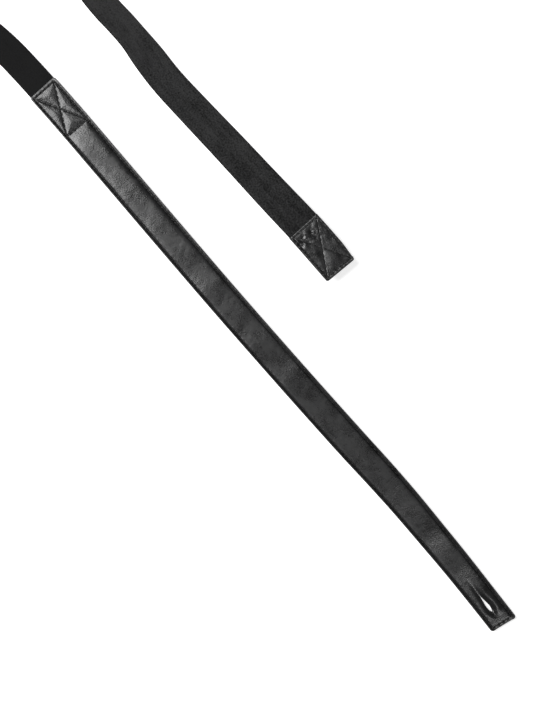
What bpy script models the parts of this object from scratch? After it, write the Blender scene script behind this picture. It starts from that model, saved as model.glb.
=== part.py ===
"""Eye patch with two sewn-on straps, laid out flat on a table.

The patch is a moulded leather cup with a lining and a pad. Its two ears hold the ends of two bands of woven
elastic. One band ends in a long leather strap with a buttonhole slit, the other in a short leather tab with a
button sewn under it. The band of the tab is turned over once on its way, so its inner face and the tab's inner
face lie upwards and the button faces the table.

Units are metres, +Z is up and the table is at z = 0. The straps run along +X. Everything is laid out from a
drawing point between the two straps, and the whole object is then moved so that the middle of its footprint is
the origin.
"""

import math

import bmesh
import bpy
from mathutils import Matrix, Vector
from mathutils.geometry import tessellate_polygon

# ---------------------------------------------------------------- sheet thicknesses, from the table upwards
LINING = 0.0007  # lining leather or suede, the lowest layer
BAND = 0.0009  # woven elastic, core and pad, the middle layer
LEATHER = 0.0008  # face leather, the top layer
GAP = 0.0002  # glue line between two layers
MIDDLE = LINING + GAP  # underside of the middle layer above the piece's own underside
TOP_UNDER = MIDDLE + BAND + GAP  # underside of the face leather
STACK = TOP_UNDER + LEATHER  # full thickness of a sewn piece
NARROWING = 0.0006  # a band narrows over this length just before the mouth of the piece it is sewn into
SIDE_GAP = 0.0003  # sideways clearance between a tucked piece and the turned-in edge round it

# ---------------------------------------------------------------- leather strap
STRAP_WIDTH = 0.0131
STRAP_TIP_WIDTH = 0.0115
STRAP_TAPER = 0.100  # the strap narrows over this much of its end
STRAP_CORNER = 0.0014  # rounding of the tip's corners
EDGE_WALL = 0.0005  # thickness of the turned-down leather edge
TUCK = 0.020  # how far an elastic is sewn into the leather strap
CORE_END = 0.0012  # the core stops this far before the tucked elastic

SLIT_FROM_TIP = 0.0062  # tip of the strap to the round end of the buttonhole
SLIT_LENGTH = 0.0165
SLIT_ROUND = 0.0009  # radius of the buttonhole's round end
SLIT_NARROW = 0.00035  # half width of the slit at its narrow end

# ---------------------------------------------------------------- elastics
LEFT_BAND_WIDTH = 0.0123
RIGHT_BAND_WIDTH = 0.0132
RIGHT_BAND_END_WIDTH = 0.0143  # the right band widens to this where it enters the tab
WIDENING = 0.085  # it widens over this length
STATION = 0.004  # spacing of the cross-sections along a band
TWIST_AFTER = 0.004  # right band: flat length between the ear and the turn-over
TWIST_LENGTH = 0.050  # right band: length over which it is turned over
LEAN = math.radians(25)  # right band: it still stands on one edge by this much after the turn-over
LEAN_AFTER = 0.020  # it leans so for this long
LEAN_FADE = 0.018  # and settles flat over this length
CLIMB = 0.030  # a band climbs or falls over this length to the height of what it is sewn into
LEFT_CLIMB = 0.012

# ---------------------------------------------------------------- tab and button
TAB_LENGTH = 0.0236
TAB_WIDTH = 0.0147
TAB_CORNER = 0.0010
TAB_TUCK = 0.0105  # how far the elastic is sewn into the tab
BUTTON_RADIUS = 0.0057
BUTTON_THICK = 0.0022
BUTTON_RIM = 0.0011  # width of the raised rim
BUTTON_DISH = 0.0007  # depth of the dish inside the rim
HOLE_RADIUS = 0.0007
HOLE_SPREAD = 0.0013  # button centre to each hole
STRAND_RADIUS = 0.0004
SHANK_RADIUS = 0.0013
SHANK_LENGTH = 0.0030  # leaves room for the leather strap between button and tab
TAB_Z = BUTTON_THICK + SHANK_LENGTH  # underside of the tab above the table

# ---------------------------------------------------------------- patch
EAR_OFFSET = 0.0245  # patch centre to the middle of an ear's mouth, across
EAR_REACH = 0.0285  # the same, towards the straps
EAR_SPLAY = math.radians(8)  # each ear points outwards by this angle
EAR_MARGIN = 0.0013  # leather beside the elastic on the ear
EAR_SIDE = 0.0060  # straight part of the ear's inner side
EAR_CORNER = 0.0030
EAR_TUCK = 0.010  # how far an elastic is sewn into the ear
TOP_DROP = 0.0175  # patch centre to the middle of its top edge
BOTTOM_DROP = 0.031
SIDE_HALF = 0.0335  # half width of the patch at the waist
SIDE_WAIST = 0.003  # the waist lies this far below the centre
CUP_HALF_WIDTH = 0.0265
CUP_HALF_HEIGHT = 0.020
CUP_BELOW = 0.006  # the cup's centre lies this far below the patch's centre
CUP_RISE = 0.010
CUP_POWER = 2.2  # fullness of the cup's dome
CUP_SIDES = 48
CUP_RINGS = (1.0, 0.9, 0.78, 0.62, 0.42, 0.2)  # shares of the cup's ellipse at which its wall is laid out
PAD_SCALE = 1.10  # the pad reaches past the cup by this factor

# ---------------------------------------------------------------- threads
THREAD = 0.0004  # thickness and width of a line of stitching
STRAP_INSET = 0.0011  # stitching to the edge, on the strap and the tab
CORNER_LEAST = 0.0006  # smallest rounding left when an outline is moved inwards
PATCH_INSET = 0.0018
CROSS_CLEAR = 0.0004  # between an edge line and the crossed box inside it

# ---------------------------------------------------------------- how the two straps lie, from the drawing point
PATCH_CENTRE = Vector((-0.234, 0.022))
LEFT_LIE = [(-0.183, -0.0022), (-0.170, 0.0008), (-0.160, 0.0021), (-0.150, 0.0026), (-0.1400, 0.0028),
            (-0.126, 0.0029), (-0.102, 0.0027), (-0.066, 0.0023), (-0.030, 0.0020), (0.000, 0.00205),
            (0.030, 0.0023), (0.050, 0.0026), (0.066, 0.0030), (0.080, 0.0031), (0.096, 0.0028), (0.112, 0.0024),
            (0.128, 0.0017), (0.1436, 0.0009)]
LEFT_MOUTH = 4  # the point of LEFT_LIE at which the elastic enters the leather strap
RIGHT_LIE = [(-0.182, 0.0472), (-0.166, 0.0451), (-0.155, 0.0434), (-0.146, 0.0431), (-0.138, 0.0434),
             (-0.130, 0.0434), (-0.121, 0.0429), (-0.111, 0.04235), (-0.092, 0.0428), (-0.075, 0.0435),
             (-0.056, 0.0441), (-0.040, 0.0444), (-0.0295, 0.0447), (-0.0059, 0.0448)]
CURVE_STEPS = 12  # straight pieces between two points of a lie


# ================================================================ small geometry helpers
def smooth(t):
    """0 to 1 with a soft start and end."""
    t = min(1.0, max(0.0, t))
    return t * t * (3 - 2 * t)


def smoother(t):
    """0 to 1 with a start and end softer still."""
    t = min(1.0, max(0.0, t))
    return t ** 3 * (t * (6 * t - 15) + 10)


def through(points, steps=CURVE_STEPS):
    """A smooth curve through the points, as closely spaced points. Its bends don't overshoot."""
    pts = [Vector(p) for p in points]
    pts = [2 * pts[0] - pts[1], *pts, 2 * pts[-1] - pts[-2]]
    out = []
    for a, b, c, d in zip(pts, pts[1:], pts[2:], pts[3:]):
        ab, bc, cd = (b - a).length, (c - b).length, (d - c).length
        leave = ((b - a) / ab * bc + (c - b) / bc * ab) / (ab + bc) * bc
        arrive = ((c - b) / bc * cd + (d - c) / cd * bc) / (bc + cd) * bc
        for i in range(steps):
            t = i / steps
            out.append((2 * t ** 3 - 3 * t ** 2 + 1) * b + (t ** 3 - 2 * t ** 2 + t) * leave
                       + (3 * t ** 2 - 2 * t ** 3) * c + (t ** 3 - t ** 2) * arrive)
    out.append(pts[-2])
    return out


class Lane:
    """A line on the table with places measured along it."""

    def __init__(self, points):
        self.points = points
        self.along = [0.0]
        for a, b in zip(points, points[1:]):
            self.along.append(self.along[-1] + (b - a).length)
        self.length = self.along[-1]

    def at(self, s):
        """The point at s along the lane; before the start and after the end the lane runs on straight."""
        if s <= 0:
            return self.points[0] + (self.points[1] - self.points[0]).normalized() * s
        if s >= self.length:
            return self.points[-1] + (self.points[-1] - self.points[-2]).normalized() * (s - self.length)
        i = next(k for k, a in enumerate(self.along) if a > s) - 1
        t = (s - self.along[i]) / (self.along[i + 1] - self.along[i])
        return self.points[i].lerp(self.points[i + 1], t)

    def heading(self, s):
        """The unit direction along the lane at s."""
        reach = STATION / 2
        return (self.at(s + reach) - self.at(s - reach)).normalized()

    def side(self, s, across):
        """The point beside the lane at s, across to the left of its direction."""
        h = self.heading(s)
        return self.at(s) + Vector((-h.y, h.x)) * across


def stations(start, end, step=STATION):
    """Evenly spaced places from start to end, both included."""
    count = max(1, math.ceil((end - start) / step))
    return [start + (end - start) * i / count for i in range(count + 1)]


def inset(outline, distance):
    """The closed outline moved inwards; it runs anticlockwise."""
    moved = []
    count = len(outline)
    for i, point in enumerate(outline):
        before = (point - outline[i - 1]).normalized()
        after = (outline[(i + 1) % count] - point).normalized()
        normal = Vector((-before.y - after.y, before.x + after.x)).normalized()
        bend = max(0.5, normal.dot(Vector((-before.y, before.x))))
        moved.append(point + normal * distance / bend)
    return moved


def arc(centre, radius, start, end, steps=4):
    """Points on a circle from angle start to angle end."""
    return [centre + radius * Vector((math.cos(a), math.sin(a)))
            for a in (start + (end - start) * i / steps for i in range(steps + 1))]


def bezier(a, b, c, d, steps=10):
    """Points on a cubic from a to d, without d."""
    out = []
    for i in range(steps):
        t = i / steps
        out.append((1 - t) ** 3 * Vector(a) + 3 * (1 - t) ** 2 * t * Vector(b)
                   + 3 * (1 - t) * t ** 2 * Vector(c) + t ** 3 * Vector(d))
    return out


def band_places(start, mouth, end, step=STATION):
    """Places of a band's cross-sections, with two close together where it enters a sewn piece."""
    return [*stations(start, mouth - 2 * NARROWING, step), mouth - NARROWING, *stations(mouth + NARROWING, end, step)]


def tucked(width, mouth, piece_width):
    """Half the width of a band along it: full outside, and past the mouth narrow enough for the sewn piece."""
    inside = min(width / 2, piece_width / 2 - EDGE_WALL - SIDE_GAP)
    return lambda s: width / 2 if s < mouth - 1.5 * NARROWING else inside


# ================================================================ objects
def material(name, colour, roughness, metallic=0.0):
    """One plain finish for a sub-part."""
    made = bpy.data.materials.new(name)
    made.use_nodes = True
    shader = made.node_tree.nodes["Principled BSDF"]
    shader.inputs["Base Color"].default_value = (*colour, 1)
    shader.inputs["Roughness"].default_value = roughness
    shader.inputs["Metallic"].default_value = metallic
    return made


def finish(bm, name, finish_name):
    """Turns the bmesh into an object with outward faces and the named material."""
    bmesh.ops.remove_doubles(bm, verts=bm.verts, dist=1e-7)
    bmesh.ops.recalc_face_normals(bm, faces=bm.faces)
    mesh = bpy.data.meshes.new(name)
    bm.to_mesh(mesh)
    bm.free()
    return place(bpy.data.objects.new(name, mesh), finish_name)


def place(obj, finish_name):
    """Puts the object in the scene under the layout empty."""
    bpy.context.scene.collection.objects.link(obj)
    obj.parent = bpy.data.objects["layout"]
    if finish_name:
        obj.data.materials.append(bpy.data.materials[finish_name])
    return obj


def hidden(cutter):
    """Marks a cutter so that it isn't part of the model."""
    cutter.hide_render = True
    cutter.display_type = "WIRE"
    return cutter


def cut(obj, *cutters):
    """Takes each cutter out of the object."""
    for cutter in cutters:
        modifier = obj.modifiers.new("cut_" + cutter.name, "BOOLEAN")
        modifier.operation = "DIFFERENCE"
        modifier.object = cutter
    return obj


def slab(name, outline, low, high, finish_name=None, soft_top=0.0):
    """A flat piece of that outline between two heights, its upper edge rounded by soft_top."""
    bm = bmesh.new()
    lower = [bm.verts.new((p.x, p.y, low)) for p in outline]
    rims = [lower, [bm.verts.new((p.x, p.y, high - soft_top)) for p in outline]]
    if soft_top:
        for turn in (30, 60, 90):
            back = soft_top * (1 - math.cos(math.radians(turn)))
            up = high - soft_top * (1 - math.sin(math.radians(turn)))
            rims.append([bm.verts.new((p.x, p.y, up)) for p in inset(outline, back)])
    count = len(outline)
    for a, b in zip(rims, rims[1:]):
        for i in range(count):
            j = (i + 1) % count
            bm.faces.new((a[i], a[j], b[j], b[i]))
    bm.faces.new(list(reversed(lower)))
    bm.faces.new(rims[-1])
    return finish(bm, name, finish_name)


def ribbon(name, lane, places, half_width, height, roll, finish_name):
    """A band of constant thickness along the lane; half_width, height and roll depend on the place along it."""
    bm = bmesh.new()
    rings = []
    for s in places:
        h = lane.heading(s)
        across = Vector((-h.y, h.x, 0))
        centre = Vector((*lane.at(s), height(s)))
        sideways = across * math.cos(roll(s)) + Vector((0, 0, 1)) * math.sin(roll(s))
        upwards = Vector((h.x, h.y, 0)).cross(sideways)
        corners = [(1, -1), (1, 1), (-1, 1), (-1, -1)]
        rings.append([bm.verts.new(centre + sideways * half_width(s) * a + upwards * BAND / 2 * b)
                      for a, b in corners])
    for first, second in zip(rings, rings[1:]):
        for i in range(4):
            j = (i + 1) % 4
            bm.faces.new((first[i], first[j], second[j], second[i]))
    bm.faces.new(rings[0])
    bm.faces.new(rings[-1])
    return finish(bm, name, finish_name)


def line_of_thread(name, outline, height):
    """One closed line of stitching lying on a sewn piece."""
    return flat_curve(name, [outline, inset(outline, THREAD)], height)


def flat_curve(name, outlines, height):
    """A thread-thick plate; the first outline is its edge, the others are holes in it."""
    curve = bpy.data.curves.new(name, "CURVE")
    curve.dimensions = "2D"
    curve.fill_mode = "BOTH"
    curve.extrude = THREAD / 2
    for outline in outlines:
        spline = curve.splines.new("POLY")
        spline.points.add(len(outline) - 1)
        for point, place_at in zip(spline.points, outline):
            point.co = (place_at.x, place_at.y, 0, 1)
        spline.use_cyclic_u = True
    obj = bpy.data.objects.new(name, curve)
    obj.location.z = height + GAP + THREAD / 2
    return place(obj, "thread")


def crossed_box(name, corners, height):
    """A sewn box with two diagonals, as one piece of thread; corners run round the box."""
    middle = sum(corners, Vector((0, 0))) / 4
    windows = []
    for i in range(4):
        a, b = corners[i], corners[(i + 1) % 4]
        windows.append(inset([middle, a, b], THREAD * 0.7))
    return flat_curve(name, [corners, *windows], height)


def box_on(frame_at, along, across, depth, half_width):
    """Four corners of a box that starts at a point and runs back along a direction."""
    far = frame_at - along * depth
    return [frame_at + across * half_width, far + across * half_width,
            far - across * half_width, frame_at - across * half_width]


# ================================================================ the two straps' lines on the table
def ear_mouth(side):
    """Middle of an ear's mouth; side is -1 for the left strap's ear and 1 for the right strap's."""
    return PATCH_CENTRE + Vector((EAR_REACH, side * EAR_OFFSET))


def ear_direction(side):
    """The way an ear points."""
    return Vector((math.cos(EAR_SPLAY), side * math.sin(EAR_SPLAY)))


def strap_lane(side, lie):
    """The strap's line, from its ear's mouth through the points of its lie. It leaves the ear straight."""
    mouth, out = ear_mouth(side), -ear_direction(side)
    way = Vector((-out.x, -out.y))
    start = [mouth, mouth + Vector((way.x, way.y)) * 0.010]
    return Lane(through([*start, *[Vector(p) for p in lie]]))


def place_of(lane, point):
    """How far along the lane its point nearest to the given one lies."""
    nearest = min(range(len(lane.points)), key=lambda i: (lane.points[i] - Vector(point)).length)
    return lane.along[nearest]


# ================================================================ patch
def ear_sides(half_width):
    """The right ear's outline in patch coordinates (across, up), from its root on the top edge to its outer root."""
    way = Vector((math.sin(EAR_SPLAY), math.cos(EAR_SPLAY)))
    beside = Vector((way.y, -way.x))
    mouth = Vector((EAR_OFFSET, EAR_REACH))
    inner, outer = mouth - beside * half_width, mouth + beside * half_width
    lean = math.atan2(way.y, way.x)
    corner_in = inner - way * EAR_CORNER + beside * EAR_CORNER
    corner_out = outer - way * EAR_CORNER - beside * EAR_CORNER
    quarter = math.pi / 2
    return [inner - way * (EAR_SIDE + EAR_CORNER),
            *arc(corner_in, EAR_CORNER, lean + quarter, lean),
            *arc(corner_out, EAR_CORNER, lean, lean - quarter),
            outer - way * (EAR_SIDE + EAR_CORNER)]


def patch_outline():
    """The patch's closed outline on the table, anticlockwise."""
    half = []
    for width in (RIGHT_BAND_WIDTH / 2 + EAR_MARGIN, LEFT_BAND_WIDTH / 2 + EAR_MARGIN):
        ear = ear_sides(width)
        way = Vector((math.sin(EAR_SPLAY), math.cos(EAR_SPLAY)))
        root, foot = ear[0], ear[-1]
        top = bezier((0, TOP_DROP), (root.x * 0.62, TOP_DROP), root - way * (root.y - TOP_DROP), root)
        waist = Vector((SIDE_HALF, -SIDE_WAIST))
        side = bezier(foot, foot - way * 0.0060, waist + Vector((0, 0.0090)), waist)
        low = bezier(waist, waist - Vector((0, 0.0170)), (SIDE_HALF * 0.56, -BOTTOM_DROP),
                     (0, -BOTTOM_DROP))
        half.append(top + ear + side[1:] + low)
    right, left = half
    # Patch coordinates (across, up) become table coordinates (up, across), and the left half is mirrored.
    table = [PATCH_CENTRE + Vector((p.y, p.x)) for p in right]
    bottom = PATCH_CENTRE + Vector((-BOTTOM_DROP, 0))
    other = [PATCH_CENTRE + Vector((p.y, -p.x)) for p in reversed(left[1:])]
    return [*table, bottom, *other]


def cup_point(direction, scale):
    """The point of the cup's ellipse towards a direction from the cup's centre."""
    centre = PATCH_CENTRE - Vector((CUP_BELOW, 0))
    reach = 1 / math.hypot(direction.x / CUP_HALF_HEIGHT, direction.y / CUP_HALF_WIDTH)
    return centre + direction * reach * scale


def cup_height(scale):
    """Rise of the dome at a share of the ellipse, 0 outside it."""
    return CUP_RISE * (1 - min(1.0, scale) ** CUP_POWER)


def domed(name, outline, low, thick, finish_name, edge_down=0.0):
    """A sheet of that outline with the cup raised in it; edge_down turns its edge down by that much."""
    bm = bmesh.new()
    centre = PATCH_CENTRE - Vector((CUP_BELOW, 0))
    turns = [Vector((math.cos(a), math.sin(a))) for a in (2 * math.pi * i / CUP_SIDES for i in range(CUP_SIDES))]

    def loop(points, height):
        return [bm.verts.new((p.x, p.y, height)) for p in points]

    def join_loops(loops):
        for a, b in zip(loops, loops[1:]):
            for i in range(len(a)):
                j = (i + 1) % len(a)
                bm.faces.new((a[i], a[j], b[j], b[i]))

    under = [loop(outline, low)]
    if edge_down:
        inner = inset(outline, EDGE_WALL)
        under = [loop(outline, low - edge_down), loop(inner, low - edge_down), loop(inner, low)]
    over = [loop(outline, low + 0.6 * thick), loop(inset(outline, 0.4 * thick), low + thick)]
    join_loops([*reversed(under), *over])
    for border, lift in ((under[-1], 0.0), (over[-1], thick)):
        cup = [loop([cup_point(way, scale) for way in turns], low + lift + cup_height(scale))
               for scale in CUP_RINGS]
        join_loops(cup)
        flat = [*border, *cup[0]]
        for corners in tessellate_polygon([[v.co.copy() for v in border], [v.co.copy() for v in cup[0]]]):
            bm.faces.new([flat[i] for i in corners])
        top = bm.verts.new((centre.x, centre.y, low + lift + cup_height(0)))
        for i in range(CUP_SIDES):
            bm.faces.new((cup[-1][i], cup[-1][(i + 1) % CUP_SIDES], top))
    return finish(bm, name, finish_name)


def tuck_cutter(name, lane, width, depth):
    """The room for an elastic in the ear, a little past the mouth."""
    start, h = lane.at(0), lane.heading(0)
    across = Vector((-h.y, h.x))
    corners = box_on(start + h * 0.004, h, across, depth + 0.004 + SIDE_GAP, width / 2 + SIDE_GAP)
    return hidden(slab(name, corners, LINING + GAP / 2, TOP_UNDER + GAP / 4))


def build_patch(left_lane, right_lane):
    outline = patch_outline()
    domed("patch_lining", inset(outline, GAP), 0.0, LINING, "lining")
    ways = [math.radians(a) for a in range(0, 360, 10)]
    pad_edge = [cup_point(Vector((math.cos(a), math.sin(a))), PAD_SCALE) for a in ways]
    domed("patch_pad", pad_edge, MIDDLE, BAND, "foam")
    shell = domed("patch_shell", outline, TOP_UNDER, LEATHER, "leather", edge_down=BAND + GAP)
    cut(shell, tuck_cutter("left_ear_room", left_lane, LEFT_BAND_WIDTH, EAR_TUCK),
        tuck_cutter("right_ear_room", right_lane, RIGHT_BAND_WIDTH, EAR_TUCK))
    line_of_thread("patch_rim_thread", inset(outline, PATCH_INSET), STACK)
    for name, lane, width in (("left_ear_thread", left_lane, LEFT_BAND_WIDTH),
                              ("right_ear_thread", right_lane, RIGHT_BAND_WIDTH)):
        h = lane.heading(0)
        across = Vector((-h.y, h.x))
        margin = PATCH_INSET + THREAD + CROSS_CLEAR
        half = width / 2 + EAR_MARGIN - margin
        depth = EAR_TUCK - margin - CROSS_CLEAR
        crossed_box(name, box_on(lane.at(0) - h * margin, h, across, depth, half), STACK)


# ================================================================ left strap
def strap_half_width(lane, s, tip, inwards=0.0):
    """Half the strap's width at s, with the taper and the rounded tip, moved inwards."""
    taper = smooth((s - (tip - STRAP_TAPER)) / STRAP_TAPER)
    half = (STRAP_WIDTH + (STRAP_TIP_WIDTH - STRAP_WIDTH) * taper) / 2 - inwards
    left = tip - inwards - s
    corner = max(STRAP_CORNER - inwards, CORNER_LEAST)
    if left < corner:
        half -= corner - math.sqrt(max(0.0, corner ** 2 - (corner - left) ** 2))
    return half


def strap_outline(lane, mouth, tip, inwards=0.0, open_mouth=0.0):
    """The strap's outline moved inwards, anticlockwise; open_mouth lets it run out past the mouth."""
    start = mouth + inwards if not open_mouth else mouth - open_mouth
    end = tip - inwards
    corner = max(STRAP_CORNER - inwards, CORNER_LEAST)
    places = stations(start, end - corner, 0.010)
    places += [end - corner * (1 - math.sin(math.radians(a))) for a in (30, 60, 82)]
    right = [lane.side(s, -strap_half_width(lane, s, tip, inwards)) for s in places]
    left = [lane.side(s, strap_half_width(lane, s, tip, inwards)) for s in places]
    return right + list(reversed(left))


def slit_outline(lane, tip):
    """The buttonhole: round at the end near the tip, narrowing to a point away from it."""
    round_at = tip - SLIT_FROM_TIP - SLIT_ROUND
    narrow_at = tip - SLIT_FROM_TIP - SLIT_LENGTH + SLIT_NARROW
    h = lane.heading(round_at)
    lean = math.atan2(h.y, h.x)
    near = arc(lane.at(round_at), SLIT_ROUND, lean - math.pi / 2, lean + math.pi / 2, 8)
    far = arc(lane.at(narrow_at), SLIT_NARROW, lean + math.pi / 2, lean + 1.5 * math.pi, 6)
    return near + far


def build_left_strap(lane):
    mouth, tip = place_of(lane, LEFT_LIE[LEFT_MOUTH]), lane.length
    outer = strap_outline(lane, mouth, tip)
    slit = hidden(slab("slit_cutter", slit_outline(lane, tip), -0.001, STACK + 0.001))
    room = hidden(slab("strap_room", strap_outline(lane, mouth, tip, EDGE_WALL, 0.004), 0.0, TOP_UNDER))
    cut(slab("strap_front", outer, MIDDLE, STACK, "leather", soft_top=LEATHER / 2), room, slit)
    cut(slab("strap_back", strap_outline(lane, mouth, tip, GAP), 0.0, LINING, "leather_back"), slit)
    core_edge = EDGE_WALL + SIDE_GAP
    core = strap_outline(lane, mouth + TUCK + CORE_END - core_edge, tip, core_edge)
    cut(slab("strap_core", core, MIDDLE, MIDDLE + BAND, "interlining"), slit)
    line_of_thread("strap_edge_thread", strap_outline(lane, mouth, tip, STRAP_INSET), STACK)
    margin = STRAP_INSET + THREAD + CROSS_CLEAR
    far = mouth + TUCK
    half = STRAP_WIDTH / 2 - margin
    corners = [lane.side(far, half), lane.side(mouth + margin, half),
               lane.side(mouth + margin, -half), lane.side(far, -half)]
    crossed_box("strap_cross_thread", corners, STACK)

    rest, sewn = BAND / 2, MIDDLE + BAND / 2

    def height(s):
        from_ear = smooth(s / LEFT_CLIMB)
        to_strap = smooth((s - mouth + LEFT_CLIMB) / LEFT_CLIMB)
        return sewn + (rest - sewn) * (from_ear - to_strap)

    ribbon("left_elastic", lane, band_places(-EAR_TUCK, mouth, mouth + TUCK),
           tucked(LEFT_BAND_WIDTH, mouth, STRAP_WIDTH), height, lambda s: 0.0, "elastic")


# ================================================================ right strap
def tab_outline(lane, mouth, inwards=0.0, open_mouth=0.0):
    """The tab's outline moved inwards, anticlockwise. The tab is straight and ends square, with eased corners."""
    h = lane.heading(mouth + TAB_LENGTH / 2)
    across = Vector((-h.y, h.x))
    start = lane.at(mouth)
    half = TAB_WIDTH / 2 - inwards
    near = inwards if not open_mouth else -open_mouth
    far = TAB_LENGTH - inwards
    ease = max(TAB_CORNER - inwards, CORNER_LEAST)
    local = [(near, -half), *arc_local(far - ease, -half + ease, ease, -90),
             *arc_local(far - ease, half - ease, ease, 0), (near, half)]
    return [start + h * a + across * b for a, b in local]


def arc_local(a, b, radius, start):
    """A quarter circle in tab coordinates, as pairs."""
    return [tuple(p) for p in arc(Vector((a, b)), radius, math.radians(start), math.radians(start + 90), 3)]


def build_right_strap(lane):
    mouth = lane.length - TAB_LENGTH
    h = lane.heading(mouth + TAB_LENGTH / 2)
    across = Vector((-h.y, h.x))
    outer = tab_outline(lane, mouth)
    room = hidden(slab("tab_room", tab_outline(lane, mouth, EDGE_WALL, 0.004), TAB_Z, TAB_Z + TOP_UNDER))
    front = slab("tab_front", outer, TAB_Z + MIDDLE, TAB_Z + STACK, "leather", soft_top=LEATHER / 2)
    cut(front, room)
    slab("tab_back", tab_outline(lane, mouth, GAP), TAB_Z, TAB_Z + LINING, "leather_back")
    stay_edge = EDGE_WALL + SIDE_GAP
    stay_start = lane.at(mouth + TAB_LENGTH - stay_edge)
    stay_length = TAB_LENGTH - stay_edge - TAB_TUCK - CORE_END
    stay = box_on(stay_start, h, across, stay_length, TAB_WIDTH / 2 - stay_edge)
    slab("tab_stay", stay, TAB_Z + MIDDLE, TAB_Z + MIDDLE + BAND, "interlining")
    line_of_thread("tab_edge_thread", tab_outline(lane, mouth, STRAP_INSET), TAB_Z + STACK)
    margin = STRAP_INSET + THREAD + CROSS_CLEAR
    box = box_on(lane.at(mouth) + h * (TAB_LENGTH - margin), h, across, TAB_LENGTH - 2 * margin,
                 TAB_WIDTH / 2 - margin)
    crossed_box("tab_cross_thread", box, TAB_Z + STACK)

    rest, low, high = BAND / 2, MIDDLE + BAND / 2, TAB_Z + MIDDLE + BAND / 2
    twist_end = TWIST_AFTER + TWIST_LENGTH
    tucked_half = tucked(RIGHT_BAND_END_WIDTH, mouth, TAB_WIDTH)

    def half_width(s):
        widening = smooth((s - mouth + WIDENING) / WIDENING)
        return min(tucked_half(s), (RIGHT_BAND_WIDTH + (RIGHT_BAND_END_WIDTH - RIGHT_BAND_WIDTH) * widening) / 2)

    def roll(s):
        turned = smoother((s - TWIST_AFTER) / TWIST_LENGTH)
        return (math.pi - LEAN) * turned + LEAN * smooth((s - twist_end - LEAN_AFTER) / LEAN_FADE)

    def height(s):
        flat = low + (rest - low) * smooth(s / twist_end)
        climb = (high - rest) * smooth((s - mouth + CLIMB) / CLIMB)
        return flat + climb + RIGHT_BAND_WIDTH / 2 * math.sin(roll(s))

    ribbon("right_elastic", lane, band_places(-EAR_TUCK, mouth, mouth + TAB_TUCK, STATION / 2),
           half_width, height, roll, "elastic")
    build_button(lane.at(mouth + TAB_LENGTH / 2))


def cylinder(name, radius, low, high, at, finish_name=None, sides=24):
    """An upright round piece."""
    outline = arc(at, radius, 0, 2 * math.pi * (sides - 1) / sides, sides - 1)
    return slab(name, outline, low, high, finish_name)


def build_button(centre):
    """A four-hole button with its dished face down, and the thread that holds it."""
    round_about = Matrix.Rotation(math.radians(90), 2)
    way = Vector((HOLE_SPREAD, 0))
    holes = [way, round_about @ way, -way, -(round_about @ way)]
    button = cylinder("button", BUTTON_RADIUS, 0.0, BUTTON_THICK, centre, "button", 32)
    dish = cylinder("button_dish", BUTTON_RADIUS - BUTTON_RIM, -0.001, BUTTON_DISH, centre, None, 32)
    cut(button, hidden(dish))
    for i, offset in enumerate(holes):
        hole = cylinder(f"button_hole_{i}", HOLE_RADIUS, -0.002, 0.004, centre + offset, None, 12)
        cut(button, hidden(hole))
    shank = cylinder("button_thread", SHANK_RADIUS + STRAND_RADIUS, BUTTON_THICK + GAP, TAB_Z - GAP,
                     centre, "thread", 16)
    bridge_top = BUTTON_DISH - GAP
    for i, offset in enumerate(holes):
        strand = cylinder(f"strand_{i}", STRAND_RADIUS, bridge_top - THREAD / 2, BUTTON_THICK + 2 * GAP,
                          centre + offset, None, 8)
        join(shank, hidden(strand))
    for i, (a, b) in enumerate(((holes[0], holes[2]), (holes[1], holes[3]))):
        run = (b - a).normalized()
        corners = box_on(centre + b + run * STRAND_RADIUS, run, Vector((-run.y, run.x)),
                         (b - a).length + 2 * STRAND_RADIUS, STRAND_RADIUS)
        bridge = slab(f"bridge_{i}", corners, bridge_top - THREAD, bridge_top)
        join(shank, hidden(bridge))


def join(obj, other):
    """Adds the other piece to the object."""
    modifier = obj.modifiers.new("join_" + other.name, "BOOLEAN")
    modifier.operation = "UNION"
    modifier.object = other
    return obj


# ================================================================ the whole object
def move_to_origin(layout):
    """Moves the layout so that the middle of the object's footprint is at the origin."""
    bpy.context.view_layer.update()
    graph = bpy.context.evaluated_depsgraph_get()
    shown = [o for o in bpy.data.objects if o.type in ("MESH", "CURVE") and not o.hide_render]
    corners = []
    for obj in shown:
        evaluated = obj.evaluated_get(graph)
        corners += [evaluated.matrix_world @ v.co for v in evaluated.to_mesh().vertices]
        evaluated.to_mesh_clear()
    for axis in range(2):
        values = [c[axis] for c in corners]
        layout.location[axis] = -(min(values) + max(values)) / 2


def main():
    for obj in list(bpy.data.objects):
        bpy.data.objects.remove(obj)
    layout = bpy.data.objects.new("layout", None)
    bpy.context.scene.collection.objects.link(layout)
    material("leather", (0.022, 0.022, 0.023), 0.42)
    material("leather_back", (0.028, 0.027, 0.027), 0.62)
    material("lining", (0.035, 0.034, 0.034), 0.9)
    material("interlining", (0.30, 0.29, 0.27), 0.9)
    material("foam", (0.10, 0.10, 0.10), 0.95)
    material("elastic", (0.020, 0.020, 0.021), 0.85)
    material("thread", (0.012, 0.012, 0.012), 0.55)
    material("button", (0.018, 0.018, 0.019), 0.3)
    left_lane = strap_lane(-1, LEFT_LIE)
    right_lane = strap_lane(1, RIGHT_LIE)
    build_patch(left_lane, right_lane)
    build_left_strap(left_lane)
    build_right_strap(right_lane)
    move_to_origin(layout)


main()
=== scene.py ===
import math

import bmesh
import bpy
import numpy as np
from mathutils import Matrix, Vector


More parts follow.
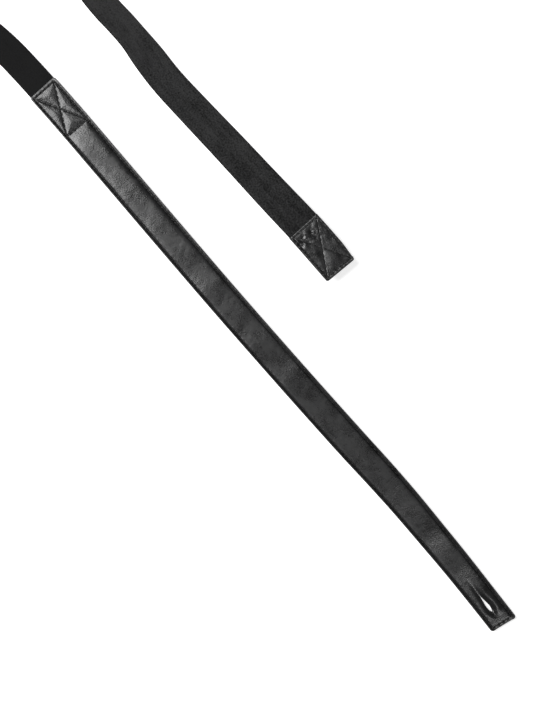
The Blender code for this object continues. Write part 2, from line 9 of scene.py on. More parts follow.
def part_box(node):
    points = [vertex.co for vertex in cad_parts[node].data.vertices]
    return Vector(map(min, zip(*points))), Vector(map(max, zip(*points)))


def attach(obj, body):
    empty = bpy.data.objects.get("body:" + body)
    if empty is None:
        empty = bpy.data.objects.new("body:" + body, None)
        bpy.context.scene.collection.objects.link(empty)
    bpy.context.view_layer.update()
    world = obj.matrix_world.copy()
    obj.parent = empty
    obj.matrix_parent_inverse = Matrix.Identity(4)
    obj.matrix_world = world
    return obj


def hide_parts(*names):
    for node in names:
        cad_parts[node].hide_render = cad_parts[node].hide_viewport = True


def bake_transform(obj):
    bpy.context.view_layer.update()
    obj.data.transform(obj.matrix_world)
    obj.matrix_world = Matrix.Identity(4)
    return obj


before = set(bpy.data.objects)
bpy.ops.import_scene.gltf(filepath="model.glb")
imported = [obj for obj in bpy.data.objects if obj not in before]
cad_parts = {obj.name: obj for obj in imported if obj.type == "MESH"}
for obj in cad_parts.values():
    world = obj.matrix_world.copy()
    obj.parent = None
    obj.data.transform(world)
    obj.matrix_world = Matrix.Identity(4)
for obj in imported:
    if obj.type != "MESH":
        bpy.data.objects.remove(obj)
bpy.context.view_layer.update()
print("frame loaded:", len(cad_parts), "nodes")

# the straps are laid out from a drawing point; the frame's patch says where that point lies
drawingPoint = np.array([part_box("patch_shell")[0].x + 0.265, -0.022])

# the middle layer's underside, a band's thickness, and heights of the patch's leather and lining
layers = {"middle": 0.0009, "band": 0.0009, "patchTop": 0.0028, "patchUnder": 0.0020, "rimUnder": 0.00085,
          "liningTop": 0.0007}
laneSpare = 0.03  # how far a lane runs on, straight, past both its ends


# numbers that vary softly

def smoothStep(t):
    t = np.clip(t, 0.0, 1.0)
    return t * t * (3 - 2 * t)


def softStep(t):
    t = np.clip(t, 0.0, 1.0)
    return t ** 3 * (t * (6 * t - 15) + 10)


def hump(s, middle, reach):  # 1 at the middle, 0 beyond the reach
    return smoothStep(1 - np.abs(s - middle) / reach)


def bell(distance, width):  # 1 at no distance, falling off smoothly
    return np.exp(-(distance / width) ** 2)


def rounding(inwards, radius):  # what a rounded edge lies below the flat, this far in from it
    inwards = np.clip(inwards, 0, radius)
    return np.sqrt(radius ** 2 - (radius - inwards) ** 2) - radius


def divided(line, step):  # more points along a line, no further apart than about the step
    out = []
    for p, q in zip(line, line[1:]):
        count = max(1, int(np.hypot(*(q - p)) / step))
        out += [p + (q - p) * i / count for i in range(count)]
    return np.array([*out, line[-1]])


def wander(x, y, size, seed, waves=14):  # smooth and random, about -1 to 1, with features of that size
    dice = np.random.default_rng(seed)
    total = np.zeros(np.broadcast(x, y).shape)
    for angle, stretch, phase in zip(dice.uniform(0, math.pi, waves), dice.uniform(0.6, 1.7, waves),
                                     dice.uniform(0, 2 * math.pi, waves)):
        k = 2 * math.pi * stretch / size
        total = total + np.sin(k * (x * math.cos(angle) + y * math.sin(angle)) + phase)
    return total / math.sqrt(waves) / 1.4


# lines on the table

def curveThrough(points, steps=12):
    pts = [np.array(p, float) for p in points]
    pts = [2 * pts[0] - pts[1], *pts, 2 * pts[-1] - pts[-2]]
    out = []
    for a, b, c, d in zip(pts, pts[1:], pts[2:], pts[3:]):
        ab, bc, cd = np.linalg.norm(b - a), np.linalg.norm(c - b), np.linalg.norm(d - c)
        leave = ((b - a) / ab * bc + (c - b) / bc * ab) / (ab + bc) * bc
        arrive = ((c - b) / bc * cd + (d - c) / cd * bc) / (bc + cd) * bc
        for i in range(steps):
            t = i / steps
            out.append((2 * t ** 3 - 3 * t ** 2 + 1) * b + (t ** 3 - 2 * t ** 2 + t) * leave
                       + (3 * t ** 2 - 2 * t ** 3) * c + (t ** 3 - t ** 2) * arrive)
    out.append(pts[-2])
    return np.array(out)


class Lane:  # a strap's middle line; s is metres along it from the ear's mouth, across is to the left of it
    def __init__(self, points):
        line = curveThrough(points) + drawingPoint
        steps = np.linalg.norm(np.diff(line, axis=0), axis=1)
        self.length = float(steps.sum())
        first, last = line[1] - line[0], line[-1] - line[-2]
        line = np.vstack([line[0] - first / np.linalg.norm(first) * laneSpare, line,
                          line[-1] + last / np.linalg.norm(last) * laneSpare])
        self.s = np.concatenate([[-laneSpare, 0.0], np.cumsum(steps), [self.length + laneSpare]])
        self.x, self.y = line[:, 0], line[:, 1]

    def at(self, s):
        return np.interp(s, self.s, self.x), np.interp(s, self.s, self.y)

    def heading(self, s):
        x0, y0 = self.at(np.asarray(s) - 0.002)
        x1, y1 = self.at(np.asarray(s) + 0.002)
        size = np.hypot(x1 - x0, y1 - y0)
        return (x1 - x0) / size, (y1 - y0) / size

    def place(self, s, across):
        x, y = self.at(s)
        hx, hy = self.heading(s)
        return x - hy * across, y + hx * across

    def nearest(self, point):
        x, y = np.array(point) + drawingPoint
        return float(self.s[np.argmin(np.hypot(self.x - x, self.y - y))])


patchPlace = {"centre": (-0.234, 0.022), "earOffset": 0.0245, "earReach": 0.0285, "earSplay": 8.0}
leftLie = [(-0.183, -0.0022), (-0.170, 0.0008), (-0.160, 0.0021), (-0.150, 0.0026), (-0.1400, 0.0028),
           (-0.126, 0.0029), (-0.102, 0.0027), (-0.066, 0.0023), (-0.030, 0.0020), (0.000, 0.00205),
           (0.030, 0.0023), (0.050, 0.0026), (0.066, 0.0030), (0.080, 0.0031), (0.096, 0.0028),
           (0.112, 0.0024), (0.128, 0.0017), (0.1436, 0.0009)]
rightLie = [(-0.182, 0.0472), (-0.166, 0.0451), (-0.155, 0.0434), (-0.146, 0.0431), (-0.138, 0.0434),
            (-0.130, 0.0434), (-0.121, 0.0429), (-0.111, 0.04235), (-0.092, 0.0428), (-0.075, 0.0435),
            (-0.056, 0.0441), (-0.040, 0.0444), (-0.0295, 0.0447), (-0.0059, 0.0448)]


def strapLane(side, lie):
    splay = math.radians(patchPlace["earSplay"])
    way = np.array([math.cos(splay), side * math.sin(splay)])
    mouth = np.array(patchPlace["centre"]) + [patchPlace["earReach"], side * patchPlace["earOffset"]]
    return Lane([mouth, mouth + way * 0.010, *lie])


leftLane, rightLane = strapLane(-1, leftLie), strapLane(1, rightLie)


# finishes

def newGroup(name, inputs, outputs):
    group = bpy.data.node_groups.new(name, "ShaderNodeTree")
    for label, default in inputs.items():
        group.interface.new_socket(label, in_out="INPUT",
                                   socket_type="NodeSocketFloat").default_value = default
    for label, kind in outputs.items():
        group.interface.new_socket(label, in_out="OUTPUT", socket_type="NodeSocket" + kind)
    return group, group.nodes.new("NodeGroupInput"), group.nodes.new("NodeGroupOutput")


def node(tree, kind, links=None, **settings):
    made = tree.nodes.new(kind)
    for key, value in settings.items():
        setattr(made, key, value)
    for socket, source in (links or {}).items():
        if isinstance(source, bpy.types.NodeSocket):
            tree.links.new(source, made.inputs[socket])
        else:
            made.inputs[socket].default_value = source
    return made


def calc(tree, operation, a, b=0.0, c=0.0, clamp=False):
    made = node(tree, "ShaderNodeMath", operation=operation, use_clamp=clamp)
    for i, value in enumerate((a, b, c)):
        if isinstance(value, bpy.types.NodeSocket):
            tree.links.new(value, made.inputs[i])
        else:
            made.inputs[i].default_value = value
    return made.outputs[0]


def remap(tree, value, low, high, outLow, outHigh):
    return node(tree, "ShaderNodeMapRange", {"Value": value, "From Min": low, "From Max": high,
                                             "To Min": outLow, "To Max": outHigh}).outputs[0]


def noise(tree, vector, scale, detail, **more):
    given = {"Vector": vector, "Scale": scale, "Detail": detail, **more}
    return node(tree, "ShaderNodeTexNoise", given).outputs["Fac"]


def makeGrainGroup():  # pebbled leather: Height of the grain, and Mottle, a slow unevenness of the finish
    group, given, out = newGroup("leatherGrain", {"Cells": 1500.0}, {"Height": "Float", "Mottle": "Float"})
    coords = node(group, "ShaderNodeTexCoord").outputs["Object"]
    bendy = node(group, "ShaderNodeTexNoise", {"Vector": coords, "Scale": 700.0, "Detail": 2.0})
    shift = node(group, "ShaderNodeVectorMath", {0: bendy.outputs["Color"], 1: (0.0006, 0.0006, 0.0006)},
                 operation="MULTIPLY")
    moved = node(group, "ShaderNodeVectorMath", {0: coords, 1: shift.outputs[0]},
                 operation="ADD").outputs[0]
    pebble = node(group, "ShaderNodeTexVoronoi", {"Vector": moved, "Scale": given.outputs["Cells"],
                                                  "Smoothness": 0.7}, feature="SMOOTH_F1")
    fine = noise(group, coords, 6000.0, 3.0)
    slow = noise(group, coords, 160.0, 5.0, Roughness=0.6)
    dome = remap(group, pebble.outputs["Distance"], 0.0, 0.8, 1.0, 0.0)
    mixed = calc(group, "MULTIPLY_ADD", fine, 0.35, calc(group, "MULTIPLY", dome, 0.65))
    group.links.new(mixed, out.inputs["Height"])
    group.links.new(slow, out.inputs["Mottle"])
    return group


def makeWeaveGroup():  # knitted band: rows of loops along it; the map holds metres along and across; its second output is real wear plus a painted light falloff, lighter near the patch and darker further along
    group, given, out = newGroup("bandWeave", {"Rib": 0.00045, "Loop": 0.0008},
                                 {"Height": "Float", "WearAndPaintedLight": "Float"})
    along = node(group, "ShaderNodeUVMap", uv_map="bandMap").outputs["UV"]
    parts = node(group, "ShaderNodeSeparateXYZ", {0: along})
    u, v = parts.outputs[0], parts.outputs[1]
    across = calc(group, "DIVIDE", v, given.outputs["Rib"])
    odd = calc(group, "MULTIPLY", calc(group, "MODULO", calc(group, "FLOOR", across), 2.0), 0.5)
    place = calc(group, "ADD", calc(group, "DIVIDE", u, given.outputs["Loop"]), odd)
    loop = calc(group, "ABSOLUTE", calc(group, "SINE", calc(group, "MULTIPLY", place, math.pi)))
    rib = calc(group, "SINE", calc(group, "MULTIPLY", calc(group, "FRACT", across), math.pi))
    fuzz = noise(group, along, 3500.0, 4.0, Roughness=0.7)
    height = calc(group, "MULTIPLY_ADD", loop, 0.55, calc(group, "MULTIPLY", rib, 0.6))
    height = calc(group, "MULTIPLY_ADD", fuzz, 0.35, height)
    group.links.new(height, out.inputs["Height"])
    blotches = noise(group, along, 150.0, 3.0, Roughness=0.6)
    specks = noise(group, along, 1500.0, 3.0)
    drawn = node(group, "ShaderNodeMapping", {"Vector": along, "Scale": (0.10, 1.0, 1.0)})
    streaks = noise(group, drawn.outputs[0], 420.0, 2.0)
    slow = calc(group, "MULTIPLY_ADD", streaks, 1.1, calc(group, "MULTIPLY", blotches, 1.1))
    wear = calc(group, "MULTIPLY_ADD", specks, 2.6, slow)
    # painted light: the band is painted lighter near the patch and darker further along, where less light
    # falls
    paintedLightNearPatch = remap(group, u, 0.05, 0.17, 0.42, -0.02)
    group.links.new(calc(group, "ADD", calc(group, "SUBTRACT", wear, 2.25), paintedLightNearPatch), out.inputs["WearAndPaintedLight"])
    return group


grainGroup, weaveGroup = makeGrainGroup(), makeWeaveGroup()


def newMaterial(name, **constants):
    made = bpy.data.materials.new(name)
    made.use_nodes = True
    shader = made.node_tree.nodes["Principled BSDF"]
    for socket, value in constants.items():
        shader.inputs[socket.replace("_", " ")].default_value = value
    return made, made.node_tree, shader


def addBump(tree, shader, height, strength, distance):
    bump = node(tree, "ShaderNodeBump", {"Height": height, "Strength": strength, "Distance": distance})
    tree.links.new(bump.outputs["Normal"], shader.inputs["Normal"])


def mixColours(tree, mask, dark, light):
    mixed = node(tree, "ShaderNodeMix", {0: mask}, data_type="RGBA")
    for socket, colour in ((6, dark), (7, light)):
        if isinstance(colour, bpy.types.NodeSocket):
            tree.links.new(colour, mixed.inputs[socket])
        else:
            mixed.inputs[socket].default_value = (*colour, 1)
    return mixed.outputs[2]


def twoColours(tree, shader, mask, dark, light):
    tree.links.new(mixColours(tree, mask, dark, light), shader.inputs["Base Color"])


def leatherFinish(name, dark, light, roughness, cells, depth):
    made, tree, shader = newMaterial(name, Specular_IOR_Level=0.5)
    grain = node(tree, "ShaderNodeGroup", node_tree=grainGroup)
    grain.inputs["Cells"].default_value = cells
    height, mottle = grain.outputs["Height"], grain.outputs["Mottle"]
    twoColours(tree, shader, remap(tree, mottle, 0.35, 0.65, 0.0, 1.0), dark, light)
    rough = calc(tree, "MULTIPLY_ADD", remap(tree, mottle, 0.35, 0.65, -1.0, 1.0), 0.05, roughness)
    rough = calc(tree, "MULTIPLY_ADD", height, -0.22, calc(tree, "ADD", rough, 0.11))
    tree.links.new(rough, shader.inputs["Roughness"])
    addBump(tree, shader, height, 0.8, depth)
    return made


def bandFinish(name, faceDark, faceLight, backDark, backLight):
    made, tree, shader = newMaterial(name, Roughness=0.9, Specular_IOR_Level=0.22, Sheen_Weight=0.08,
                                     Sheen_Roughness=0.5)
    weave = node(tree, "ShaderNodeGroup", node_tree=weaveGroup)
    side = node(tree, "ShaderNodeAttribute", attribute_name="faceSide").outputs["Fac"]
    # the colour mask takes the weave, the real wear and the painted light that makes the band lighter near
    # the patch
    mask = calc(tree, "MULTIPLY_ADD", weave.outputs["Height"], 0.30, weave.outputs["WearAndPaintedLight"], clamp=True)
    back = mixColours(tree, mask, backDark, backLight)
    face = mixColours(tree, mask, faceDark, faceLight)
    twoColours(tree, shader, side, back, face)
    addBump(tree, shader, weave.outputs["Height"], 0.5, 0.00010)
    return made


def softFinish(name, dark, light, size, depth, roughness=0.92, sheen=0.2):  # suede, felt and pressed fibre
    made, tree, shader = newMaterial(name, Roughness=roughness, Specular_IOR_Level=0.2, Sheen_Weight=sheen)
    coords = node(tree, "ShaderNodeTexCoord").outputs["Object"]
    nap = noise(tree, coords, 1 / size, 6.0, Roughness=0.75)
    patches = noise(tree, coords, 90.0, 3.0)
    mask = calc(tree, "MULTIPLY_ADD", nap, 0.6, calc(tree, "MULTIPLY", patches, 0.4))
    twoColours(tree, shader, remap(tree, mask, 0.35, 0.65, 0.0, 1.0), dark, light)
    addBump(tree, shader, nap, 0.8, depth)
    return made


def threadFinish(name, dark, light):  # plied thread, a slant of fine ridges
    made, tree, shader = newMaterial(name, Roughness=0.5, Specular_IOR_Level=0.4)
    coords = node(tree, "ShaderNodeTexCoord").outputs["Object"]
    turned = node(tree, "ShaderNodeMapping", {"Vector": coords, "Rotation": (0.0, 0.3, 0.9)})
    plies = node(tree, "ShaderNodeTexWave", {"Vector": turned.outputs[0], "Scale": 900.0,
                                             "Distortion": 0.6})
    twoColours(tree, shader, plies.outputs["Fac"], dark, light)
    addBump(tree, shader, plies.outputs["Fac"], 0.6, 0.00006)
    return made


def buttonFinish(name):
    made, tree, shader = newMaterial(name, Specular_IOR_Level=0.5, Coat_Weight=0.15, Coat_Roughness=0.2)
    coords = node(tree, "ShaderNodeTexCoord").outputs["Object"]
    cloud = noise(tree, coords, 260.0, 4.0, Distortion=1.2)
    scuffs = noise(tree, coords, 2500.0, 3.0)
    twoColours(tree, shader, remap(tree, cloud, 0.35, 0.65, 0.0, 1.0),
               (0.010, 0.010, 0.011), (0.026, 0.025, 0.025))
    tree.links.new(remap(tree, scuffs, 0.3, 0.7, 0.24, 0.42), shader.inputs["Roughness"])
    addBump(tree, shader, scuffs, 0.25, 0.00003)
    return made


faceLeather = leatherFinish("faceLeather", (0.003, 0.003, 0.0032), (0.009, 0.009, 0.0094), 0.295, 2300.0,
                            0.000055)
backLeather = leatherFinish("backLeather", (0.014, 0.0135, 0.013), (0.032, 0.031, 0.030), 0.60, 2100.0,
                            0.00007)
suedeLining = softFinish("suedeLining", (0.016, 0.015, 0.015), (0.042, 0.041, 0.040), 0.0005, 0.00020)
feltPad = softFinish("feltPad", (0.06, 0.06, 0.06), (0.14, 0.14, 0.14), 0.0008, 0.0003)
bandKnit = bandFinish("bandKnit", (0.0005, 0.0005, 0.0006), (0.0035, 0.0035, 0.0037),
                      (0.000, 0.000, 0.000), (0.024, 0.024, 0.0245))
sewingThread = threadFinish("sewingThread", (0.005, 0.005, 0.005), (0.014, 0.014, 0.014))
buttonResin = buttonFinish("buttonResin")
print("finishes made")


# mesh helpers

def addObject(name, mesh, material):
    made = bpy.data.objects.new(name, mesh)
    bpy.context.scene.collection.objects.link(made)
    mesh.materials.clear()
    mesh.materials.append(material)
    return made


def meshFrom(name, points, faces, material, sharpAngle=50.0):
    mesh = bpy.data.meshes.new(name)
    mesh.from_pydata([tuple(p) for p in points], [], faces)
    mesh.validate()
    bm = bmesh.new()
    bm.from_mesh(mesh)
    bmesh.ops.delete(bm, geom=[v for v in bm.verts if not v.link_faces], context="VERTS")
    bmesh.ops.recalc_face_normals(bm, faces=bm.faces)
    bm.to_mesh(mesh)
    bm.free()
    made = addObject(name, mesh, material)
    smoothShade(made, sharpAngle)
    return made


def smoothShade(made, sharpAngle):
    mesh = made.data
    mesh.polygons.foreach_set("use_smooth", [True] * len(mesh.polygons))
    mesh.set_sharp_from_angle(angle=math.radians(sharpAngle))


def stripFaces(loops):  # quads between neighbouring closed loops of vertex numbers
    faces = []
    for a, b in zip(loops, loops[1:]):
        for i in range(len(a)):
            j = (i + 1) % len(a)
            faces.append((a[i], a[j], b[j], b[i]))
    return faces


def tubeFaces(rows, columns):  # points in rows, closed round each row, with a flat cap at both ends
    numbers = range(rows * columns)
    sides = stripFaces([numbers[i * columns:(i + 1) * columns] for i in range(rows)])
    return [*sides, tuple(reversed(numbers[:columns])), tuple(numbers[-columns:])]


def carry(piece, slot, body, *nodes):  # hides the CAD nodes a piece stands for, and hangs the piece on what carries it
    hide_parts(*nodes)
    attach(piece, body)


# sewn leather pieces: long strap and tab

class SewnPiece:  # leather round a core, sewn along its edges, with a crossed box of stitching
    def __init__(self, lane, start, end, sizes):
        self.lane, self.start, self.end, self.sizes = lane, start, end, sizes

    def half(self, s):  # half width, with the taper towards the tip
        z = self.sizes
        taper = smoothStep((s - (self.end - z["taper"])) / z["taper"])
        return (z["width"] + (z["tipWidth"] - z["width"]) * taper) / 2

    def outline(self, s):  # the same, with the rounded corners at both ends
        z = self.sizes
        corners = rounding(self.end - s, z["tipCorner"]) + rounding(s - self.start, z["mouthCorner"])
        return self.half(s) + corners

    def trim(self, s):  # what the far left side loses towards the end
        return self.sizes.get("endTrim", 0.0) * smoothStep((s - self.end + 0.009) / 0.009)

    def slitHalf(self, s):  # half width of the buttonhole slit at s, 0 where there is none
        if "slit" not in self.sizes:
            return np.zeros_like(s)
        slit = self.sizes["slit"]
        far = self.end - slit["fromTip"]
        u = np.clip((s - (far - slit["open"])) / slit["open"], 0, 1)
        almond = np.maximum(np.sin(math.pi * u ** 1.9), 0) ** 0.75 * slit["halfWidth"]
        closed = (s > far - slit["open"] - slit["crease"]) & (s < far - 0.00005)
        return np.where(closed, np.maximum(almond, 0.00004), 0.0)

    def middle(self, s):  # the middle column bends over to the slit, which lies a little aslant
        if "slit" not in self.sizes:
            return np.zeros_like(s)
        far = self.end - self.sizes["slit"]["fromTip"]
        return self.sizes["slit"]["lean"] * smoothStep((s - far + 0.030) / 0.024)

    def seams(self, s, a):  # distance to the nearest seam, and the place along that seam
        z = self.sizes
        a = a + z.get("seamShift", 0.0)
        row = self.half(s) - z["inset"]
        found = [(np.abs(np.abs(a) - row) + np.maximum(self.start + z["mouthInset"] - s, 0)
                  + np.maximum(s - self.end + z["inset"], 0), s)]
        within = np.maximum(np.abs(a) - row, 0)
        ends = [self.start + z["mouthInset"], self.end - z["inset"]]
        if z["crossSeam"]:
            ends.append(self.start + z["crossLength"])
        for place in ends:
            found.append((np.hypot(np.abs(s - place), within), a))
        s0, s1, w = self.start + z["mouthInset"], self.crossEnd(), z["width"] / 2 - z["inset"]
        run = np.array([s1 - s0, 2 * w])
        size = np.hypot(*run)
        for sign in (-1, 1):
            t = np.clip(((s - s0) * run[0] + (sign * a + w) * run[1]) / size ** 2, 0, 1)
            found.append((np.hypot(s - s0 - t * run[0], sign * a + w - t * run[1]), t * size))
        dist = np.stack([f[0] for f in found])
        along = np.stack([np.broadcast_to(f[1], dist[0].shape) for f in found])
        pick = dist.argmin(0)
        return np.take_along_axis(dist, pick[None], 0)[0], np.take_along_axis(along, pick[None], 0)[0]

    def crossEnd(self):
        z = self.sizes
        return self.start + z["crossLength"] if z["crossSeam"] else self.end - z["inset"]

    def height(self, s, a):  # the leather's surface above the piece's own base
        z = self.sizes
        rim = self.outline(s) - np.abs(a) - np.where(a > 0, self.trim(s), 0.0)
        edge = np.minimum(np.minimum(rim, s - self.start), self.end - s)
        welt = z["welt"] * np.clip(1 - rim / z["inset"], 0, 1) * smoothStep((s - self.start) / 0.003)
        dist, along = self.seams(s, a)
        row = self.half(s) - z["inset"]
        c = a + z.get("seamShift", 0.0)
        panel = 1.0
        for inwards in (row - np.abs(c), s - self.start - z["mouthInset"], self.end - z["inset"] - s):
            panel = panel * smoothStep(inwards / 0.0004)
        fine = 1 - 0.40 * panel * smoothStep((self.crossEnd() - 0.0006 - s) / 0.0006)
        groove = z["groove"] * fine * bell(dist, z["grooveWidth"] * fine)
        boxed = smoothStep((self.crossEnd() + 0.0002 - s) / 0.0004)
        past = 1 - np.exp(-np.maximum(s - self.crossEnd(), 0) / 0.004)
        flatter = 1 - 0.85 * smoothStep((s - self.crossEnd() - 0.030) / 0.080)
        pillow = z["pillow"] * (1 - np.exp(-dist / z["pillowReach"]))
        crown = z["crown"] * np.maximum(1 - np.abs(c / row) ** 4.2, 0) * past * flatter
        lift = panel * (pillow * boxed + (crown + z["bead"] * (1 - np.exp(-dist / 0.0005))) * (1 - boxed))
        pucker = z["pucker"] * np.cos(2 * math.pi * along / z["pitch"]) * bell(dist, 0.0008)
        uneven = z["uneven"] * (wander(s, a, 0.010, z["seed"]) + 0.45 * wander(s, a, 0.0042, z["seed"] + 1))
        uneven = uneven + z["sway"] * wander(s, a * 0.5, 0.024, z["seed"] + 2)
        creases = z["creases"](s, a) if "creases" in z else 0.0
        relief = pucker * fine ** 2 + uneven * panel + creases * panel
        out = z["thick"] + rounding(edge, z["edgeRound"]) + welt + lift - groove + relief
        if "slit" in z:
            slit = z["slit"]
            lip = np.abs(a - self.middle(s)) - self.slitHalf(s)
            far = self.end - slit["fromTip"]
            along = s - far + slit["open"]
            near = smoothStep((along + slit["crease"]) / 0.006) * smoothStep((far + 0.0030 - s) / 0.0045)
            wide = 0.2 + 0.8 * smoothStep((along + 0.005) / 0.009)
            side = 0.70 + 0.30 * np.sign(a - self.middle(s))
            swell = slit["swell"] * side * bell(lip - 0.0024, 0.0015) * wide
            out = out + near * (swell - slit["turnIn"] * (0.35 + 0.65 * wide) * bell(lip, 0.00095))
        return out

    def points(self, s, a):  # the surface in the frame
        z = self.sizes
        s, a = np.broadcast_arrays(np.asarray(s, float), np.asarray(a, float))
        h = self.height(s, a)
        level = z["base"] - h if z["under"] else z["base"] + h
        return self.raised(s, a, level)

    # puts a point at that level onto the lane; the far end is cut a little askew
    def raised(self, s, a, level):
        skew = self.sizes.get("skew", 0.0) * smoothStep((s - self.end + 0.006) / 0.006)
        x, y = self.lane.place(s + skew * a, a)
        return np.stack([x, y, level], -1)

    def rowPlaces(self):  # rows of the mesh, closer together at the ends, the crossed box and the slit
        z = self.sizes
        fine, coarse = z["fineStep"], z["coarseStep"]
        here = self.crossEnd() + 0.001
        stops = [(self.start, self.start + 0.0022, 0.0001), (self.start + 0.0022, here, fine)]
        last = self.end - 0.0022
        if here < last:
            if "slit" in z:
                slitStart = self.end - z["slit"]["fromTip"] - z["slit"]["open"] - z["slit"]["crease"]
                stops.append((here, slitStart - 0.001, coarse))
                stops.append((slitStart - 0.001, last, fine))
            else:
                stops.append((here, last, coarse))
        else:
            stops[-1] = (stops[-1][0], last, fine)
        stops.append((last, self.end, 0.0001))
        places = []
        for low, high, step in stops:
            count = max(1, round((high - low) / step))
            places += [low + (high - low) * i / count for i in range(count)]
        return np.array(places + [self.end])

    def build(self, name, material):
        z = self.sizes
        rows = self.rowPlaces()
        inner = np.arange(0, 1, z["columnStep"] / (z["width"] / 2 - 0.002)) * (1 - 0.002 / (z["width"] / 2))
        outer = 1 - 0.002 / (z["width"] / 2) * (1 - np.arange(0, 19) / 18)
        share = np.concatenate([inner[inner < outer[0] - 0.01], outer])
        slitHalf = self.slitHalf(rows)
        out = self.outline(rows)
        points, numbers = [], {}
        for side in (1, -1):
            reach = out - (self.trim(rows) if side == 1 else 0.0)
            across = side * (slitHalf[:, None] + share[None, :] * (reach - slitHalf)[:, None])
            across = across + self.middle(rows)[:, None] * (1 - share[None, :])
            block = self.points(np.repeat(rows[:, None], len(share), 1), across)
            ids = np.arange(block.shape[0] * block.shape[1]).reshape(block.shape[:2])
            ids += sum(len(p) for p in points)
            if side == -1:  # both halves share their middle column where there is no slit
                ids[:, 0] = np.where(slitHalf > 0, ids[:, 0], numbers[1][:, 0])
            points.append(block.reshape(-1, 3))
            numbers[side] = ids
        points = list(np.vstack(points))
        faces = []
        for side in (1, -1):
            ids = numbers[side]
            for i in range(len(rows) - 1):
                for j in range(len(share) - 1):
                    faces.append((ids[i, j], ids[i + 1, j], ids[i + 1, j + 1], ids[i, j + 1]))
        left, right = numbers[1], numbers[-1]
        last = len(rows) - 1
        low = {side: np.full(ids.shape, -1) for side, ids in numbers.items()}
        for side, ids in numbers.items():
            for i in range(len(rows)):
                columns = range(len(share)) if i in (0, last) else (0, len(share) - 1)
                for j in columns:
                    shared = side == -1 and ids[i, j] == left[i, j]
                    low[side][i, j] = low[1][i, j] if shared else self.dropped(points, ids[i, j])
            for i in (0, last):
                for j in range(len(share) - 1):
                    faces.append((ids[i, j], ids[i, j + 1], low[side][i, j + 1], low[side][i, j]))
            for i in range(last):
                top, under = ids[i:i + 2], low[side][i:i + 2]
                faces.append((top[0, -1], top[1, -1], under[1, -1], under[0, -1]))
                if slitHalf[i] > 0 or slitHalf[i + 1] > 0:
                    faces.append((top[0, 0], top[1, 0], under[1, 0], under[0, 0]))
                near = under[0] if i == 0 else under[0][[0, -1]]
                far = under[1] if i == last - 1 else under[1][[0, -1]]
                faces.append((*near, *reversed(far)))
        faces = [tuple(int(v) for v in f) for f in faces]
        return meshFrom(name, points, faces, material, 60)

    def dropped(self, points, which):  # a point straight below (or above) on the piece's other face
        x, y, _ = points[which]
        points.append(np.array([x, y, self.sizes["floor"]]))
        return len(points) - 1


leftStart = leftLane.nearest(leftLie[4])
strapSizes = {"width": 0.0131, "tipWidth": 0.0115, "taper": 0.100, "tipCorner": 0.0012,
              "mouthCorner": 0.0014, "inset": 0.00128, "seamShift": 0.00014, "mouthInset": 0.0016,
              "crossSeam": True, "crossLength": 0.0216, "pitch": 0.0021, "edgeRound": 0.00052,
              "welt": 0.00048, "thick": 0.0016, "base": 0.0009, "floor": 0.00075, "groove": 0.00030,
              "grooveWidth": 0.00024, "pillow": 0.00040, "pillowReach": 0.0021, "crown": 0.00054,
              "bead": 0.00014, "pucker": 0.00004, "uneven": 0.00003, "sway": 0.00016, "seed": 11,
              "fineStep": 0.00018, "coarseStep": 0.00050, "columnStep": 0.00025, "under": False,
              "skew": 0.12,
              "slit": {"fromTip": 0.0066, "open": 0.0090, "crease": 0.0082, "halfWidth": 0.00066,
                       "swell": 0.00055, "turnIn": 0.00055, "lean": -0.0006}}
strapFront = SewnPiece(leftLane, leftStart, leftLane.length, strapSizes)
strapFrontSkin = strapFront.build("strapFrontSkin", faceLeather)
print("long strap, face:", len(strapFrontSkin.data.polygons), "faces")

strapBackSizes = {**strapSizes, "width": 0.0127, "tipWidth": 0.0111, "under": True, "base": 0.00070,
                  "thick": 0.00068, "floor": 0.00070, "welt": 0.0, "edgeRound": 0.00025,
                  "groove": 0.00018, "pillow": 0.0, "crown": 0.0, "bead": 0.0, "uneven": 0.000012,
                  "sway": 0.0, "inset": 0.0010, "fineStep": 0.00035, "coarseStep": 0.0009,
                  "columnStep": 0.0006, "seed": 31,
                  "slit": {**strapSizes["slit"], "swell": 0.0, "turnIn": 0.00012}}
strapBack = SewnPiece(leftLane, leftStart + 0.0002, leftLane.length - 0.0002, strapBackSizes)
strapBackSkin = strapBack.build("strapBackSkin", backLeather)
carry(strapFrontSkin, "face_leather", "long_strap", "strap_front", "strap_core")
carry(strapBackSkin, "back_leather", "long_strap", "strap_back")
print("long strap built")

tabZ = 0.0052
tabLength = 0.0236
tabStart = rightLane.length - tabLength


def mouthCreases(s, a):  # soft pleats where the band runs into the tab
    fanned = a * (1 - 45 * (s - tabStart)) + 0.5 * (s - tabStart)
    pleats = 0.00008 * np.sin(fanned * 2 * math.pi / 0.0044 + 0.6)
    return hump(s - tabStart, 0.0048, 0.0046) * (pleats + 0.00013 * wander(s, a, 0.0030, 51))


tabSizes = {"width": 0.0148, "tipWidth": 0.0148, "taper": 0.001, "tipCorner": 0.0009,
            "mouthCorner": 0.0005, "inset": 0.0012, "mouthInset": 0.0013, "crossSeam": False,
            "crossLength": tabLength, "pitch": 0.0021, "edgeRound": 0.00080, "welt": 0.00012,
            "thick": 0.0019, "base": tabZ + 0.0009, "floor": tabZ + 0.00075, "groove": 0.00018,
            "grooveWidth": 0.00026, "pillow": 0.00026, "pillowReach": 0.0026, "crown": 0.0, "bead": 0.0,
            "pucker": 0.00003, "uneven": 0.00008, "sway": 0.00012, "seed": 23, "fineStep": 0.00016,
            "coarseStep": 0.0002, "columnStep": 0.00018, "under": False, "skew": 0.03, "endTrim": 0.0006,
            "creases": mouthCreases}
tabFront = SewnPiece(rightLane, tabStart, rightLane.length, tabSizes)
tabFrontSkin = tabFront.build("tabFrontSkin", faceLeather)
